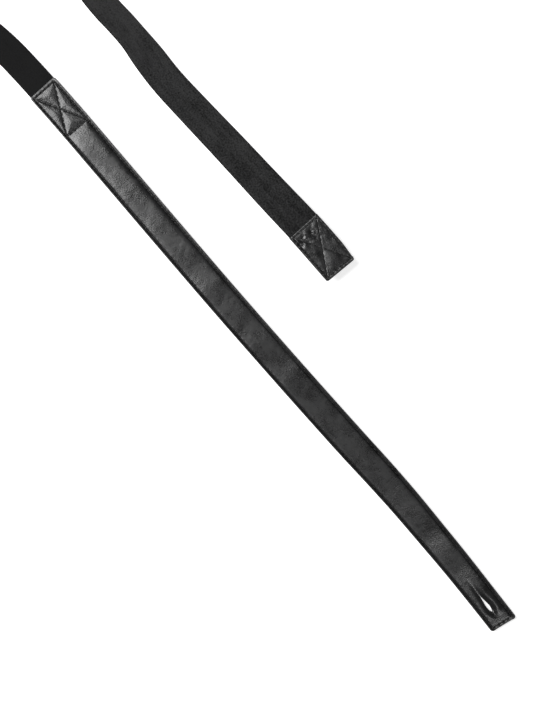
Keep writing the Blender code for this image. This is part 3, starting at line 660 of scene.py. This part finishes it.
tabBackSizes = {**tabSizes, "width": 0.0144, "tipWidth": 0.0144, "under": True, "sway": 0.0,
                "base": tabZ + 0.0007, "thick": 0.00068, "floor": tabZ + 0.0007, "welt": 0.0,
                "edgeRound": 0.00025, "groove": 0.00018, "pillow": 0.0001, "uneven": 0.00002,
                "inset": 0.0009, "fineStep": 0.0003, "columnStep": 0.0004, "creases": lambda s, a: 0.0}
tabBack = SewnPiece(rightLane, tabStart + 0.0002, rightLane.length - 0.0002, tabBackSizes)
tabBackSkin = tabBack.build("tabBackSkin", backLeather)
carry(tabFrontSkin, "face_leather", "tab", "tab_front", "tab_stay")
carry(tabBackSkin, "back_leather", "tab", "tab_back")
print("tab built")


# elastic bands

class Band:  # a knitted band lying along a lane
    def __init__(self, lane, sizes):
        self.lane, self.sizes = lane, sizes

    def build(self, name, start, end):
        z = self.sizes
        count = max(2, math.ceil((end - start) / z["step"]))
        s = np.linspace(start, end, count + 1)
        t = np.linspace(-1, 1, z["columns"])
        width, height, roll = z["half"](s), z["height"](s), z["roll"](s)
        hx, hy = self.lane.heading(s)
        x, y = self.lane.at(s)
        loops, mapAt = [], []
        thin = z["thick"] / 2 * (1 - np.abs(t) ** 10) ** 0.5
        for face in (1, -1):
            order = t if face == 1 else t[::-1][1:-1]
            depth = (thin if face == 1 else thin[::-1][1:-1]) * face
            for v, d in zip(order, depth):
                a = width * v
                d = d + z["thick"] * 0.10 * math.exp(-((abs(v) - 0.93) / 0.04) ** 2) * face  # selvedge bead
                sideways = a * np.cos(roll) - d * np.sin(roll)
                up = a * np.sin(roll) + d * np.cos(roll) + z["curl"](s, v)
                loops.append(np.stack([x - hy * sideways, y + hx * sideways, height + up], -1))
                mapAt.append((v * z["half"](np.array([0.03]))[0], face))
        grid = np.stack(loops, 1)  # rows along, columns round
        rows, cols = grid.shape[:2]
        made = meshFrom(name, grid.reshape(-1, 3), tubeFaces(rows, cols), bandKnit, 75)
        mesh = made.data
        along = np.repeat(s, cols)
        across = np.tile([m[0] for m in mapAt], rows)
        layer = mesh.uv_layers.new(name="bandMap")
        corner = np.zeros(len(mesh.loops), np.int32)
        mesh.loops.foreach_get("vertex_index", corner)
        places = np.stack([along[corner], across[corner]], -1)
        layer.data.foreach_set("uv", places.astype(np.float32).ravel())
        side = mesh.attributes.new("faceSide", "FLOAT", "POINT")
        isFace = np.tile([1.0 if m[1] == 1 else 0.0 for m in mapAt], rows)
        side.data.foreach_set("value", isFace.astype(np.float32))
        return made


def tuckedHalf(width, mouth, inside):
    return lambda s: width / 2 - (width / 2 - inside) * smoothStep((s - mouth - 0.0004) / 0.0006)


bandRest, bandSewn = layers["band"] / 2, layers["middle"] + layers["band"] / 2
bandTuck = 0.0095  # how far a band runs in under the patch's ear
leftTuck, rightTuck = 0.012, 0.009  # and into the long strap and the tab
leftWidth = 0.0123


def leftHeight(s):  # from under the ear down to the table, and up again into the long strap
    down = smoothStep(s / 0.012) - smoothStep((s - leftStart + 0.012) / 0.012)
    return bandSewn + 0.0002 + (bandRest - bandSewn) * down


leftBandSizes = {"thick": 0.0010, "columns": 25, "step": 0.0005,
                 "half": tuckedHalf(leftWidth, leftStart, 0.0057), "roll": lambda s: np.zeros_like(s),
                 "height": leftHeight, "curl": lambda s, v: np.zeros_like(s)}
leftBand = Band(leftLane, leftBandSizes)
leftCut = 0.034
leftBandNear = leftBand.build("leftBandNear", -bandTuck, leftCut)
leftBandFar = leftBand.build("leftBandFar", leftCut, leftStart + leftTuck)

twist = {"after": 0.004, "length": 0.050, "lean": 25.0, "leanAfter": 0.020, "leanFade": 0.018,
         "width": 0.0132, "endWidth": 0.0144, "widening": 0.085, "climb": 0.030}
twistEnd = twist["after"] + twist["length"]


def rightRoll(s):  # turned over, but for a last lean on one edge that settles further on
    lean = math.radians(twist["lean"])
    return ((math.pi - lean) * softStep((s - twist["after"]) / twist["length"])
            + lean * smoothStep((s - twistEnd - twist["leanAfter"]) / twist["leanFade"]))


def rightHalf(s):
    share = smoothStep((s - tabStart) / twist["widening"] + 1)
    wide = twist["width"] + (twist["endWidth"] - twist["width"]) * share
    return np.minimum(wide / 2, tuckedHalf(twist["endWidth"], tabStart, 0.0063)(s))


def rightHeight(s):
    low, high = bandSewn + 0.0001, tabZ + bandSewn + 0.0001
    flat = low + (bandRest - low) * smoothStep(s / twistEnd)
    up = (high - bandRest) * smoothStep((s - tabStart + twist["climb"]) / twist["climb"])
    return flat + up + twist["width"] / 2 * np.sin(rightRoll(s))


# the raised edge curls over a little where the lean settles, and soft creases run up to it
def rightCurl(s, v):
    settle = twistEnd + twist["leanAfter"]
    out = -0.0012 * max(v, 0.0) ** 6 * hump(s, settle + 0.006, 0.010)
    for ahead, slope, high, reach in ((-0.004, 42.0, 0.00045, 0.020), (0.001, 46.0, 0.00030, 0.015)):
        line = v + 0.25 - slope * (s - settle - ahead)
        out = out + high * bell(line, 0.16) * hump(s, settle + ahead + 0.006, reach)
    return out


rightBandSizes = {"thick": 0.0010, "columns": 29, "step": 0.0005, "half": rightHalf, "roll": rightRoll,
                  "height": rightHeight, "curl": rightCurl}
rightBand = Band(rightLane, rightBandSizes)
rightCut = 0.090
rightBandNear = rightBand.build("rightBandNear", -bandTuck, rightCut)
rightBandFar = rightBand.build("rightBandFar", rightCut, tabStart + rightTuck)
for piece, cad, width, length, under in (
        (leftBandNear, "left_elastic", leftWidth, leftCut + bandTuck, "patch_shell"),
        (leftBandFar, "left_elastic", leftWidth, leftStart + leftTuck - leftCut, "strap_front"),
        (rightBandNear, "right_elastic", twist["width"], rightCut + bandTuck, "patch_shell"),
        (rightBandFar, "right_elastic", twist["endWidth"], tabStart + rightTuck - rightCut, "tab_front")):
    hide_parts(cad)


def lanePoint(lane, s, z=0.001):
    x, y = lane.at(s)
    return (float(x), float(y), z)


lanePoint(leftLane, 0.0)
lanePoint(leftLane, leftCut - 0.002)
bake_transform(leftBandNear)
lanePoint(leftLane, leftCut + 0.001)
lanePoint(leftLane, leftStart)
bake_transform(leftBandFar)
lanePoint(rightLane, 0.0)
lanePoint(rightLane, 0.040)
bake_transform(rightBandNear)
lanePoint(rightLane, rightCut + 0.001)
lanePoint(rightLane, tabStart)
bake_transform(rightBandFar)
print("elastic bands built")


# patch

patchSizes = {"earMargin": 0.0013, "earSide": 0.0060, "earCorner": 0.0030, "topDrop": 0.0175,
              "bottomDrop": 0.031, "sideHalf": 0.0335, "waist": 0.003, "cupHalfWidth": 0.0265,
              "cupHalfHeight": 0.020, "cupBelow": 0.006, "cupRise": 0.0103, "cupPower": 2.2,
              "inset": 0.0018, "pitch": 0.0022, "rings": 62, "cupRings": 34, "boxInset": 0.0026,
              "boxFar": 0.0096, "liningInset": 0.0002, "rimTurn": 0.0005}
earWidths = {1: 0.0132, -1: 0.0120}  # room for the band in the right and the left ear


def bezierRun(a, b, c, d, steps):
    t = np.arange(steps)[:, None] / steps
    a, b, c, d = (np.array(p, float) for p in (a, b, c, d))
    return (1 - t) ** 3 * a + 3 * (1 - t) ** 2 * t * b + 3 * (1 - t) * t ** 2 * c + t ** 3 * d


def arcRun(centre, radius, start, end, steps):
    angle = np.linspace(start, end, steps + 1)
    return np.stack([centre[0] + radius * np.cos(angle), centre[1] + radius * np.sin(angle)], -1)


def earAxes(side):  # which way an ear points, the way across it, and the middle of its mouth
    splay = math.radians(patchPlace["earSplay"])
    way = np.array([side * math.sin(splay), math.cos(splay)])
    mouth = np.array([side * patchPlace["earOffset"], patchPlace["earReach"]])
    return way, np.array([way[1], -way[0]]), mouth


# one half of the patch, from the middle of its top edge round to its lowest point
def halfOutline(bandWidth):
    z = patchSizes
    way, beside, mouth = earAxes(1)
    half = bandWidth / 2 + z["earMargin"]
    inner, outer = mouth - beside * half, mouth + beside * half
    corner, lean, quarter = z["earCorner"], math.atan2(way[1], way[0]), math.pi / 2
    root, foot = inner - way * (z["earSide"] + corner), outer - way * (z["earSide"] + corner)
    side0 = np.linspace(root, inner - way * corner, 12)[:-1]
    side1 = np.linspace(outer - way * corner, foot, 12)[1:-1]
    turn0 = arcRun(inner - way * corner + beside * corner, corner, lean + quarter, lean, 8)
    turn1 = arcRun(outer - way * corner - beside * corner, corner, lean, lean - quarter, 8)
    front = np.linspace(turn0[-1], turn1[0], 14)[1:-1]
    waist = np.array([z["sideHalf"], -z["waist"]])
    top = bezierRun((0, z["topDrop"]), (root[0] * 0.62, z["topDrop"]),
                    root - way * (root[1] - z["topDrop"]), root, 30)
    side = bezierRun(foot, foot - way * 0.006, waist + [0, 0.009], waist, 26)
    low = bezierRun(waist, waist - [0, 0.017], (z["sideHalf"] * 0.56, -z["bottomDrop"]),
                    (0, -z["bottomDrop"]), 60)
    ear = np.vstack([side0, turn0, front, turn1, side1])
    mouthMiddle = len(top) + len(side0) + len(turn0) + len(front) // 2
    keys = [0, len(top), mouthMiddle, len(top) + len(ear), len(top) + len(ear) + len(side)]
    return np.vstack([top, ear, side, low]), keys


def patchRings():  # the closed outline and, for each of its points, the matching turn round the cup
    right, keys = halfOutline(earWidths[1])
    left, _ = halfOutline(earWidths[-1])
    marks = [*keys, len(right)]
    turns = np.interp(np.arange(len(right)), marks, np.radians([90, 58, 50, 42, 2, -90]))
    outline = np.vstack([right, [[0, -patchSizes["bottomDrop"]]], left[:0:-1] * [-1, 1]])
    turns = np.concatenate([turns, [math.radians(-90)], math.pi - turns[:0:-1]])
    return outline, turns


# distance from each point to a line, and the place along it
def nearestDistance(points, line, closed=True):
    ends = np.roll(line, -1, 0) if closed else line[1:]
    starts = line if closed else line[:-1]
    run = ends - starts
    size = np.maximum((run ** 2).sum(1), 1e-18)
    so = np.concatenate([[0], np.cumsum(np.sqrt(size))[:-1]])
    best, along = np.full(len(points), 1e9), np.zeros(len(points))
    for p0, r, sz, s0 in zip(starts, run, size, so):
        t = np.clip(((points - p0) @ r) / sz, 0, 1)
        d = np.hypot(*(points - p0 - t[:, None] * r).T)
        closer = d < best
        best = np.where(closer, d, best)
        along = np.where(closer, s0 + t * math.sqrt(sz), along)
    return best, along


def insetLine(line, distance):  # a closed clockwise line moved inwards
    before = line - np.roll(line, 1, 0)
    after = np.roll(line, -1, 0) - line
    before /= np.linalg.norm(before, axis=1)[:, None]
    after /= np.linalg.norm(after, axis=1)[:, None]
    normal = np.stack([before[:, 1] + after[:, 1], -before[:, 0] - after[:, 0]], -1)
    normal /= np.linalg.norm(normal, axis=1)[:, None]
    bend = np.maximum(0.5, (normal * np.stack([before[:, 1], -before[:, 0]], -1)).sum(1))
    return line + normal * (distance / bend)[:, None]


patchOutline, cupTurns = patchRings()
rimSeam = insetLine(patchOutline, patchSizes["inset"])


def toFrame(flat):  # patch coordinates (across, up) to the frame's x and y
    cx, cy = np.array(patchPlace["centre"]) + drawingPoint
    return np.stack([cx + flat[..., 1], cy + flat[..., 0]], -1)


def earBox(side, bandWidth):  # corners of the crossed box on an ear, in patch coordinates
    way, beside, mouth = earAxes(side)
    margin = patchSizes["boxInset"]
    half = bandWidth / 2 + patchSizes["earMargin"] - margin
    near, far = mouth - way * margin, mouth - way * patchSizes["boxFar"]
    return [near + beside * half, far + beside * half, far - beside * half, near - beside * half]


earBoxes = {side: earBox(side, width) for side, width in earWidths.items()}


def earSeams(box):
    return [np.array([box[i] for i in corners]) for corners in ((0, 1, 2, 3, 0), (0, 2), (1, 3))]


def cupShare(flat):  # 0 at the cup's middle, 1 on its edge
    z = patchSizes
    return np.hypot(flat[:, 0] / z["cupHalfWidth"], (flat[:, 1] + z["cupBelow"]) / z["cupHalfHeight"])


def cupHeight(share, soften=0.0):
    z = patchSizes
    raw = z["cupRise"] * (1 - share ** z["cupPower"])
    if soften == 0:
        return np.maximum(raw, 0)
    settled = 0.15 * soften * np.exp(-np.maximum(share - 1, 0) * 4)
    return 0.5 * (raw + np.sqrt(raw ** 2 + soften ** 2)) - settled


def patchTop(flat):  # height of the face leather
    z = patchSizes
    edge, _ = nearestDistance(flat, patchOutline)
    seam, along = nearestDistance(flat, rimSeam)
    dome = cupHeight(cupShare(flat), 0.0016)
    groove = 0.00036 * bell(seam, 0.00042)
    pucker = 0.00005 * np.cos(2 * math.pi * along / z["pitch"]) * bell(seam, 0.0010)
    inside = smoothStep((edge - z["inset"]) / 0.0008)
    swell = 0.00035 * (1 - np.exp(-seam / 0.0012)) * inside
    total = layers["patchTop"] + rounding(edge, 0.0007) + dome - groove + pucker + swell
    for box in earBoxes.values():
        for run in earSeams(box):
            d, t = nearestDistance(flat, run, False)
            total -= 0.00030 * bell(d, 0.00038)
            total += 0.00003 * np.cos(2 * math.pi * t / z["pitch"]) * bell(d, 0.0008)
    total += inside * (0.00007 * wander(flat[:, 0], flat[:, 1], 0.013, 41)
                       + 0.00003 * wander(flat[:, 0], flat[:, 1], 0.005, 42))
    return total


def patchUnder(flat):  # height of the lining's lower face
    edge, _ = nearestDistance(flat, patchOutline)
    seam, _ = nearestDistance(flat, rimSeam)
    dome = cupHeight(cupShare(flat), 0.0010)
    groove = 0.00016 * bell(seam, 0.00040)
    level = np.maximum(dome - 0.0004, 0) + groove - rounding(edge - 0.0002, 0.0003)
    return level + 0.00001 * wander(flat[:, 0], flat[:, 1], 0.006, 43)


# rings from the outline to the cup's edge and middle
def ringGrid(outline, turns, rings, cupRings, spread):
    z = patchSizes
    cup = np.stack([np.cos(turns) * z["cupHalfWidth"], np.sin(turns) * z["cupHalfHeight"]], -1)
    cup -= [0, z["cupBelow"]]
    found = []
    for k in range(rings):
        f = (k / rings) ** spread
        found.append(outline + (cup - outline) * f)
    for k in range(cupRings):
        f = 1 - k / cupRings
        found.append((cup + [0, z["cupBelow"]]) * f - [0, z["cupBelow"]])
    return found


def dish(name, outline, turns, topHeight, underHeight, topRings, underRings, material):
    points, faces = [], []

    def addLoop(flat, heights):
        start = len(points)
        points.extend(np.column_stack([toFrame(flat), heights]))
        return list(range(start, start + len(flat)))

    middle = np.array([[0.0, -patchSizes["cupBelow"]]])
    ends = {}
    layout = (("top", topHeight, topRings), ("under", underHeight, underRings))
    for key, height, (rings, cupRings, spread) in layout:
        grid = ringGrid(outline, turns, rings, cupRings, spread)
        heights = height(np.vstack(grid)).reshape(len(grid), -1)
        loops = [addLoop(flat, h) for flat, h in zip(grid, heights)]
        faces += stripFaces(loops)
        centre = addLoop(middle, height(middle))[0]
        for i in range(len(outline)):
            faces.append((loops[-1][i], loops[-1][(i + 1) % len(outline)], centre))
        ends[key] = loops[0]
    faces += stripFaces([ends["under"], ends["top"]])
    return meshFrom(name, points, faces, material, 55)


def shellUnder(flat):  # height of the face leather's lower side, turned down at the rim
    edge, _ = nearestDistance(flat, patchOutline)
    return np.where(edge < patchSizes["rimTurn"], layers["rimUnder"],
                    layers["patchUnder"] + cupHeight(cupShare(flat)))


patchShell = dish("patchShell", patchOutline, cupTurns, patchTop, shellUnder,
                  (patchSizes["rings"], patchSizes["cupRings"], 1.25), (6, 8, 2.2), faceLeather)
liningOutline = insetLine(patchOutline, patchSizes["liningInset"])
patchLining = dish("patchLining", liningOutline, cupTurns,
                   lambda flat: layers["liningTop"] + cupHeight(cupShare(flat)), patchUnder,
                   (4, 10, 1.3), (30, 26, 1.25), suedeLining)
carry(patchShell, "face_leather", "patch", "patch_shell")
carry(patchLining, "lining", "patch", "patch_lining")
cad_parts["patch_pad"].data.materials.clear()
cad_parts["patch_pad"].data.materials.append(feltPad)
print("patch built:", len(patchShell.data.polygons), "faces")


# stitches

stitchSizes = {"length": 0.00165, "radius": 0.00021, "arch": 0.00014, "slant": 5.0, "pitch": 0.0021,
               "rise": 0.00010, "smallest": 0.92, "largest": 1.05}


def makeStitchShape():  # one stitch along x, its ends diving into the leather
    z = stitchSizes
    points = []
    rings, sides = 7, 6
    for i in range(rings):
        t = i / (rings - 1) * 2 - 1
        fat = z["radius"] * (1 - 0.72 * abs(t) ** 3)
        for k in range(sides):
            angle = 2 * math.pi * (k + 0.5 * (i % 2)) / sides
            ahead = t * z["length"] / 2
            aside = math.cos(angle) * fat + math.tan(math.radians(z["slant"])) * ahead
            points.append((ahead, aside, math.sin(angle) * fat - z["arch"] * t * t))
    return meshFrom("stitchShape", points, tubeFaces(rings, sides), sewingThread, 80)


def makeStitchTree():
    tree = bpy.data.node_groups.new("stitchRows", "GeometryNodeTree")
    for label, kind in (("Geometry", "Geometry"), ("Pitch", "Float"), ("Stitch", "Object"),
                        ("Thread", "Material"),
                        ("Seed", "Int")):
        tree.interface.new_socket(label, in_out="INPUT", socket_type="NodeSocket" + kind)
    tree.interface.new_socket("Geometry", in_out="OUTPUT", socket_type="NodeSocketGeometry")
    given, out = tree.nodes.new("NodeGroupInput").outputs, tree.nodes.new("NodeGroupOutput")
    curve = node(tree, "GeometryNodeMeshToCurve", {"Mesh": given["Geometry"]})
    spots = node(tree, "GeometryNodeCurveToPoints", {"Curve": curve.outputs["Curve"],
                                                     "Length": given["Pitch"]},
                 mode="LENGTH")
    aim = node(tree, "FunctionNodeAlignRotationToVector", {"Vector": spots.outputs["Tangent"]}, axis="X",
               pivot_axis="Z")
    shape = node(tree, "GeometryNodeObjectInfo", {"Object": given["Stitch"]})
    size = node(tree, "FunctionNodeRandomValue", {"Seed": given["Seed"]}, data_type="FLOAT")
    size.inputs[2].default_value = stitchSizes["smallest"]
    size.inputs[3].default_value = stitchSizes["largest"]
    placed = node(tree, "GeometryNodeInstanceOnPoints", {"Points": spots.outputs["Points"],
                                                         "Instance": shape.outputs["Geometry"],
                                                         "Rotation": aim.outputs["Rotation"]})
    tree.links.new(size.outputs[1], placed.inputs["Scale"])
    real = node(tree, "GeometryNodeRealizeInstances", {"Geometry": placed.outputs["Instances"]})
    painted = node(tree, "GeometryNodeSetMaterial", {"Geometry": real.outputs["Geometry"],
                                                     "Material": given["Thread"]})
    tree.links.new(painted.outputs["Geometry"], out.inputs["Geometry"])
    return tree


stitchShape, stitchTree = makeStitchShape(), makeStitchTree()
for item in stitchTree.interface.items_tree:
    if item.name == "Pitch":
        item.default_value = stitchSizes["pitch"]


# stitches along 3-D lines, as one mesh
def sew(name, rows, body, replaced, seed, pitch=stitchSizes["pitch"]):
    points, edges = [], []
    for row in rows:
        start = len(points)
        points += [tuple(p) for p in row]
        edges += [(start + i, start + i + 1) for i in range(len(row) - 1)]
    mesh = bpy.data.meshes.new(name + "Lines")
    mesh.from_pydata(points, edges, [])
    lines = addObject(name + "Lines", mesh, sewingThread)
    fitted = lines.modifiers.new("stitches", "NODES")
    fitted.node_group = stitchTree
    values = {"Pitch": pitch, "Stitch": stitchShape, "Thread": sewingThread, "Seed": seed}
    for item in stitchTree.interface.items_tree:
        if item.in_out == "INPUT" and item.name in values:
            fitted[item.identifier] = values[item.name]
    graph = bpy.context.evaluated_depsgraph_get()
    made = addObject(name, bpy.data.meshes.new_from_object(lines.evaluated_get(graph)), sewingThread)
    bpy.data.objects.remove(lines)
    smoothShade(made, 80)
    carry(made, "thread", body, replaced)


def seamLine(piece, places, above):  # points (s, across) on a sewn piece, a little above the leather
    steps = divided(np.array(places), 0.0005)
    points = piece.points(steps[:, 0], steps[:, 1])
    points[:, 2] += above
    return points


def edgeRow(piece, side):
    z = piece.sizes
    s = np.linspace(piece.start + z["mouthInset"], piece.end - z["inset"], 200)
    return np.stack([s, side * (piece.half(s) - z["inset"])], -1)


def edgeSeams(piece, above):
    right, left = edgeRow(piece, -1), edgeRow(piece, 1)
    runs = (right, left, [right[-1], left[-1]], [right[0], left[0]])
    return [seamLine(piece, run, above) for run in runs]


def crossSeams(piece, above):
    z = piece.sizes
    s0, s1, w = piece.start + z["mouthInset"], piece.crossEnd(), z["width"] / 2 - z["inset"]
    runs = [[(s0, -w), (s1, w)], [(s0, w), (s1, -w)]]
    if z["crossSeam"]:
        runs.append([(s1, -w), (s1, w)])
    return [seamLine(piece, run, above) for run in runs]


for label, front, back, below, body, seed in (("strap", strapFront, strapBack, -0.00004, "long_strap", 2),
                                              ("tab", tabFront, tabBack, -0.00006, "tab", 4)):
    for kind, seams, extra in (("Edge", edgeSeams, 0), ("Cross", crossSeams, 1)):
        rows = seams(front, stitchSizes["rise"]) + seams(back, below)
        sew(label + kind + "Stitches", rows, body, label + "_" + kind.lower() + "_thread", seed + extra)


def patchRows(line, closed):
    line = np.vstack([line, line[:1]]) if closed else line
    fine = divided(line, 0.0006)
    top = np.column_stack([toFrame(fine), patchTop(fine) + stitchSizes["rise"]])
    under = np.column_stack([toFrame(fine), patchUnder(fine) - 0.00005])
    return [top, under]


sew("patchRimStitches", patchRows(rimSeam, True), "patch", "patch_rim_thread", 6, patchSizes["pitch"])
for side, label in ((-1, "left"), (1, "right")):
    rows = [row for run in earSeams(earBoxes[side]) for row in patchRows(run, False)]
    sew(label + "EarStitches", rows, "patch", label + "_ear_thread", 7 + side)
bpy.data.objects.remove(stitchShape)
print("stitches sewn")


# button

buttonSizes = {"radius": 0.0057, "thick": 0.0022, "rim": 0.0011, "dish": 0.0007, "holeRadius": 0.0007,
               "holeSpread": 0.0013, "strand": 0.00024, "shankRadius": 0.0012}
buttonX, buttonY = (float(v) for v in rightLane.at(tabStart + tabLength / 2))


def lathe(name, profile, centre, sides, material):
    points = []
    for r, z in profile:
        for k in range(sides):
            angle = 2 * math.pi * k / sides
            points.append((centre[0] + r * math.cos(angle), centre[1] + r * math.sin(angle), z))
    return meshFrom(name, points, tubeFaces(len(profile), sides), material, 45)


def buildButton():
    z = buttonSizes
    r, t = z["radius"], z["thick"]
    inner = r - z["rim"]
    profile = [(inner * f, z["dish"] - 0.00003 * (1 - f)) for f in (0.05, 0.45, 0.85)]
    profile += [(inner - 0.0002, z["dish"] - 0.00006), (inner, z["dish"] * 0.6), (inner + 0.00018, 0.00014)]
    profile += [(inner + 0.0004, 0.0), (r - 0.00045, 0.0), (r - 0.0002, 0.00007), (r - 0.00005, 0.00025)]
    profile += [(r, 0.0006), (r, t - 0.0010), (r - 0.0001, t - 0.0006), (r - 0.0004, t - 0.0003)]
    profile += [(r - 0.0010, t - 0.0001), (r * 0.6, t), (r * 0.05, t)]
    made = lathe("buttonDisc", profile, (buttonX, buttonY), 72, buttonResin)
    for k in range(4):
        angle = math.pi / 2 * k
        at = (buttonX + z["holeSpread"] * math.cos(angle), buttonY + z["holeSpread"] * math.sin(angle))
        flare = z["holeRadius"] + 0.00025
        narrow = z["holeRadius"]
        bore = [(flare, -0.001), (flare, z["dish"] - 0.0001), (narrow, z["dish"] + 0.00015),
                (narrow, t - 0.0002), (flare, t + 0.0001), (flare, t + 0.001)]
        hole = lathe("buttonHole", bore, at, 24, buttonResin)
        cutter = made.modifiers.new("hole", "BOOLEAN")
        cutter.operation, cutter.object, cutter.solver = "DIFFERENCE", hole, "EXACT"
        graph = bpy.context.evaluated_depsgraph_get()
        cut = bpy.data.meshes.new_from_object(made.evaluated_get(graph))
        made.modifiers.clear()
        made.data = cut
        bpy.data.objects.remove(hole)
    made.data.materials.clear()
    made.data.materials.append(buttonResin)
    smoothShade(made, 40)
    return made


def tube(points, radius, sides=8):  # points along a line, as one closed tube
    line = np.array(points, float)
    out = []
    way = np.gradient(line, axis=0)
    way /= np.linalg.norm(way, axis=1)[:, None]
    normal = np.cross(way[0], [0.3, 0.5, 0.8])
    for p, w in zip(line, way):
        normal = normal - w * normal.dot(w)
        normal /= np.linalg.norm(normal)
        other = np.cross(w, normal)
        for k in range(sides):
            angle = 2 * math.pi * k / sides
            out.append(p + radius * (normal * math.cos(angle) + other * math.sin(angle)))
    return out, tubeFaces(len(line), sides)


def buildButtonThread():
    z = buttonSizes
    points, faces = [], []

    def add(line, radius):
        new, more = tube(line, radius)
        start = len(points)
        points.extend(new)
        faces.extend(tuple(i + start for i in f) for f in more)

    low, high = z["dish"] - 0.00045, tabZ - 0.00005
    for pair in range(2):
        angle = math.pi / 2 * pair
        way = np.array([math.cos(angle), math.sin(angle), 0])
        beside = np.array([-way[1], way[0], 0])
        for strand in (-1, 0, 1):
            base = np.array([buttonX, buttonY, 0]) + beside * strand * z["strand"] * 1.5
            spread = z["holeSpread"]
            top, bottom = z["thick"] + 0.0002, low + (0.00012 if pair else 0.0)
            line = [base - way * spread * 0.5 + [0, 0, top + 0.0008], base - way * spread + [0, 0, top]]
            line += [base - way * spread + [0, 0, h] for h in np.linspace(top, bottom + 0.0003, 6)[1:]]
            line += [base - way * (spread - 0.00015) + [0, 0, bottom + 0.0001]]
            line += [base + way * spread * f + [0, 0, bottom - 0.00006 * (1 - f * f)]
                     for f in np.linspace(-0.7, 0.7, 7)]
            line += [base + way * (spread - 0.00015) + [0, 0, bottom + 0.0001]]
            line += [base + way * spread + [0, 0, h] for h in np.linspace(bottom + 0.0003, top, 6)]
            line += [base + way * spread * 0.5 + [0, 0, top + 0.0008]]
            add(line, z["strand"])
    turns, steps = 6.5, 160
    shank = []
    for i in range(steps + 1):
        t = i / steps
        angle = 2 * math.pi * turns * t
        r = z["shankRadius"] * (1 - 0.12 * math.sin(math.pi * t))
        shank.append((buttonX + r * math.cos(angle), buttonY + r * math.sin(angle),
                      z["thick"] + 0.0004 + t * (high - z["thick"] - 0.0007)))
    add(shank, z["strand"] * 1.05)
    for k in range(7):
        angle = 2 * math.pi * k / 7
        r = 0.00062 if k else 0.0
        core = []
        for h in np.linspace(0, 1, 12):
            x, y = buttonX + r * math.cos(angle + h * 0.6), buttonY + r * math.sin(angle + h * 0.6)
            core.append((x, y, z["thick"] + 0.0002 + h * (high - z["thick"] - 0.0002)))
        add(core, 0.00034)
    return meshFrom("buttonThreads", points, faces, sewingThread, 80)


buttonDisc = buildButton()
buttonThreads = buildButtonThread()
carry(buttonDisc, "button", "button", "button")
carry(buttonThreads, "thread", "button", "button_thread")
print("button built")


# table, light and camera

studio = {"world": 0.17, "floorGlow": 0.62, "floorZ": -0.0004, "floorHalf": 3.0, "lens": 90.0,
          "viewWidth": 0.2844, "sharpAt": 0.002, "rightWay": (0.6574, 0.7536, 0.0),
          "keyBox": {"place": (-0.71, -0.38, 1.15), "size": (0.80, 0.90), "radiance": 12.0},
          "tipBox": {"place": (0.53, -0.12, 1.0), "size": (0.34, 0.36), "radiance": 6.4}}


def makeFloor():
    mesh = bpy.data.meshes.new("tableTop")
    far, level = studio["floorHalf"], studio["floorZ"]
    corners = [(x * far, y * far, level) for x, y in ((-1, -1), (1, -1), (1, 1), (-1, 1))]
    mesh.from_pydata(corners, [], [(0, 1, 2, 3)])
    made, tree, shader = newMaterial("paleTable", Roughness=0.9, Specular_IOR_Level=0.1)
    shader.inputs["Base Color"].default_value = (0.76, 0.76, 0.76, 1)
    shader.inputs["Emission Color"].default_value = (1, 1, 1, 1)
    shader.inputs["Emission Strength"].default_value = studio["floorGlow"]
    return addObject("tableTop", mesh, made)


def makeLight(name, middle):  # a flat soft box looking straight down, placed from the drawing point
    given = studio[name]
    data = bpy.data.lights.new(name, "AREA")
    data.shape, data.size, data.size_y = "RECTANGLE", *given["size"]
    data.energy = given["radiance"] * math.pi * given["size"][0] * given["size"][1]
    made = bpy.data.objects.new(name, data)
    bpy.context.scene.collection.objects.link(made)
    made.location = Vector(given["place"]) + Vector(middle)


makeFloor()
middle = (float(drawingPoint[0]), float(drawingPoint[1]), 0.0)
for light in ("keyBox", "tipBox"):
    makeLight(light, middle)
world = bpy.data.worlds.new("studioWhite")
world.use_nodes = True
background = world.node_tree.nodes["Background"].inputs
background["Color"].default_value = (1, 1, 1, 1)
background["Strength"].default_value = studio["world"]
bpy.context.scene.world = world
bpy.context.scene.view_settings.view_transform = "Standard"

rightWay = Vector(studio["rightWay"]).normalized()
upWay = Vector((-rightWay.y, rightWay.x, 0.0))
cameraData = bpy.data.cameras.new("tableCamera")
cameraData.lens = studio["lens"]
cameraData.clip_start, cameraData.clip_end = 0.01, 20.0
camera = bpy.data.objects.new("tableCamera", cameraData)
bpy.context.scene.collection.objects.link(camera)
turn = Matrix((rightWay, upWay, (0.0, 0.0, 1.0))).transposed()
cameraHeight = studio["viewWidth"] * studio["lens"] / cameraData.sensor_width + studio["sharpAt"]
camera.matrix_world = Matrix.Translation((middle[0], middle[1], cameraHeight)) @ turn.to_4x4()
bpy.context.scene.camera = camera
print("studio set")
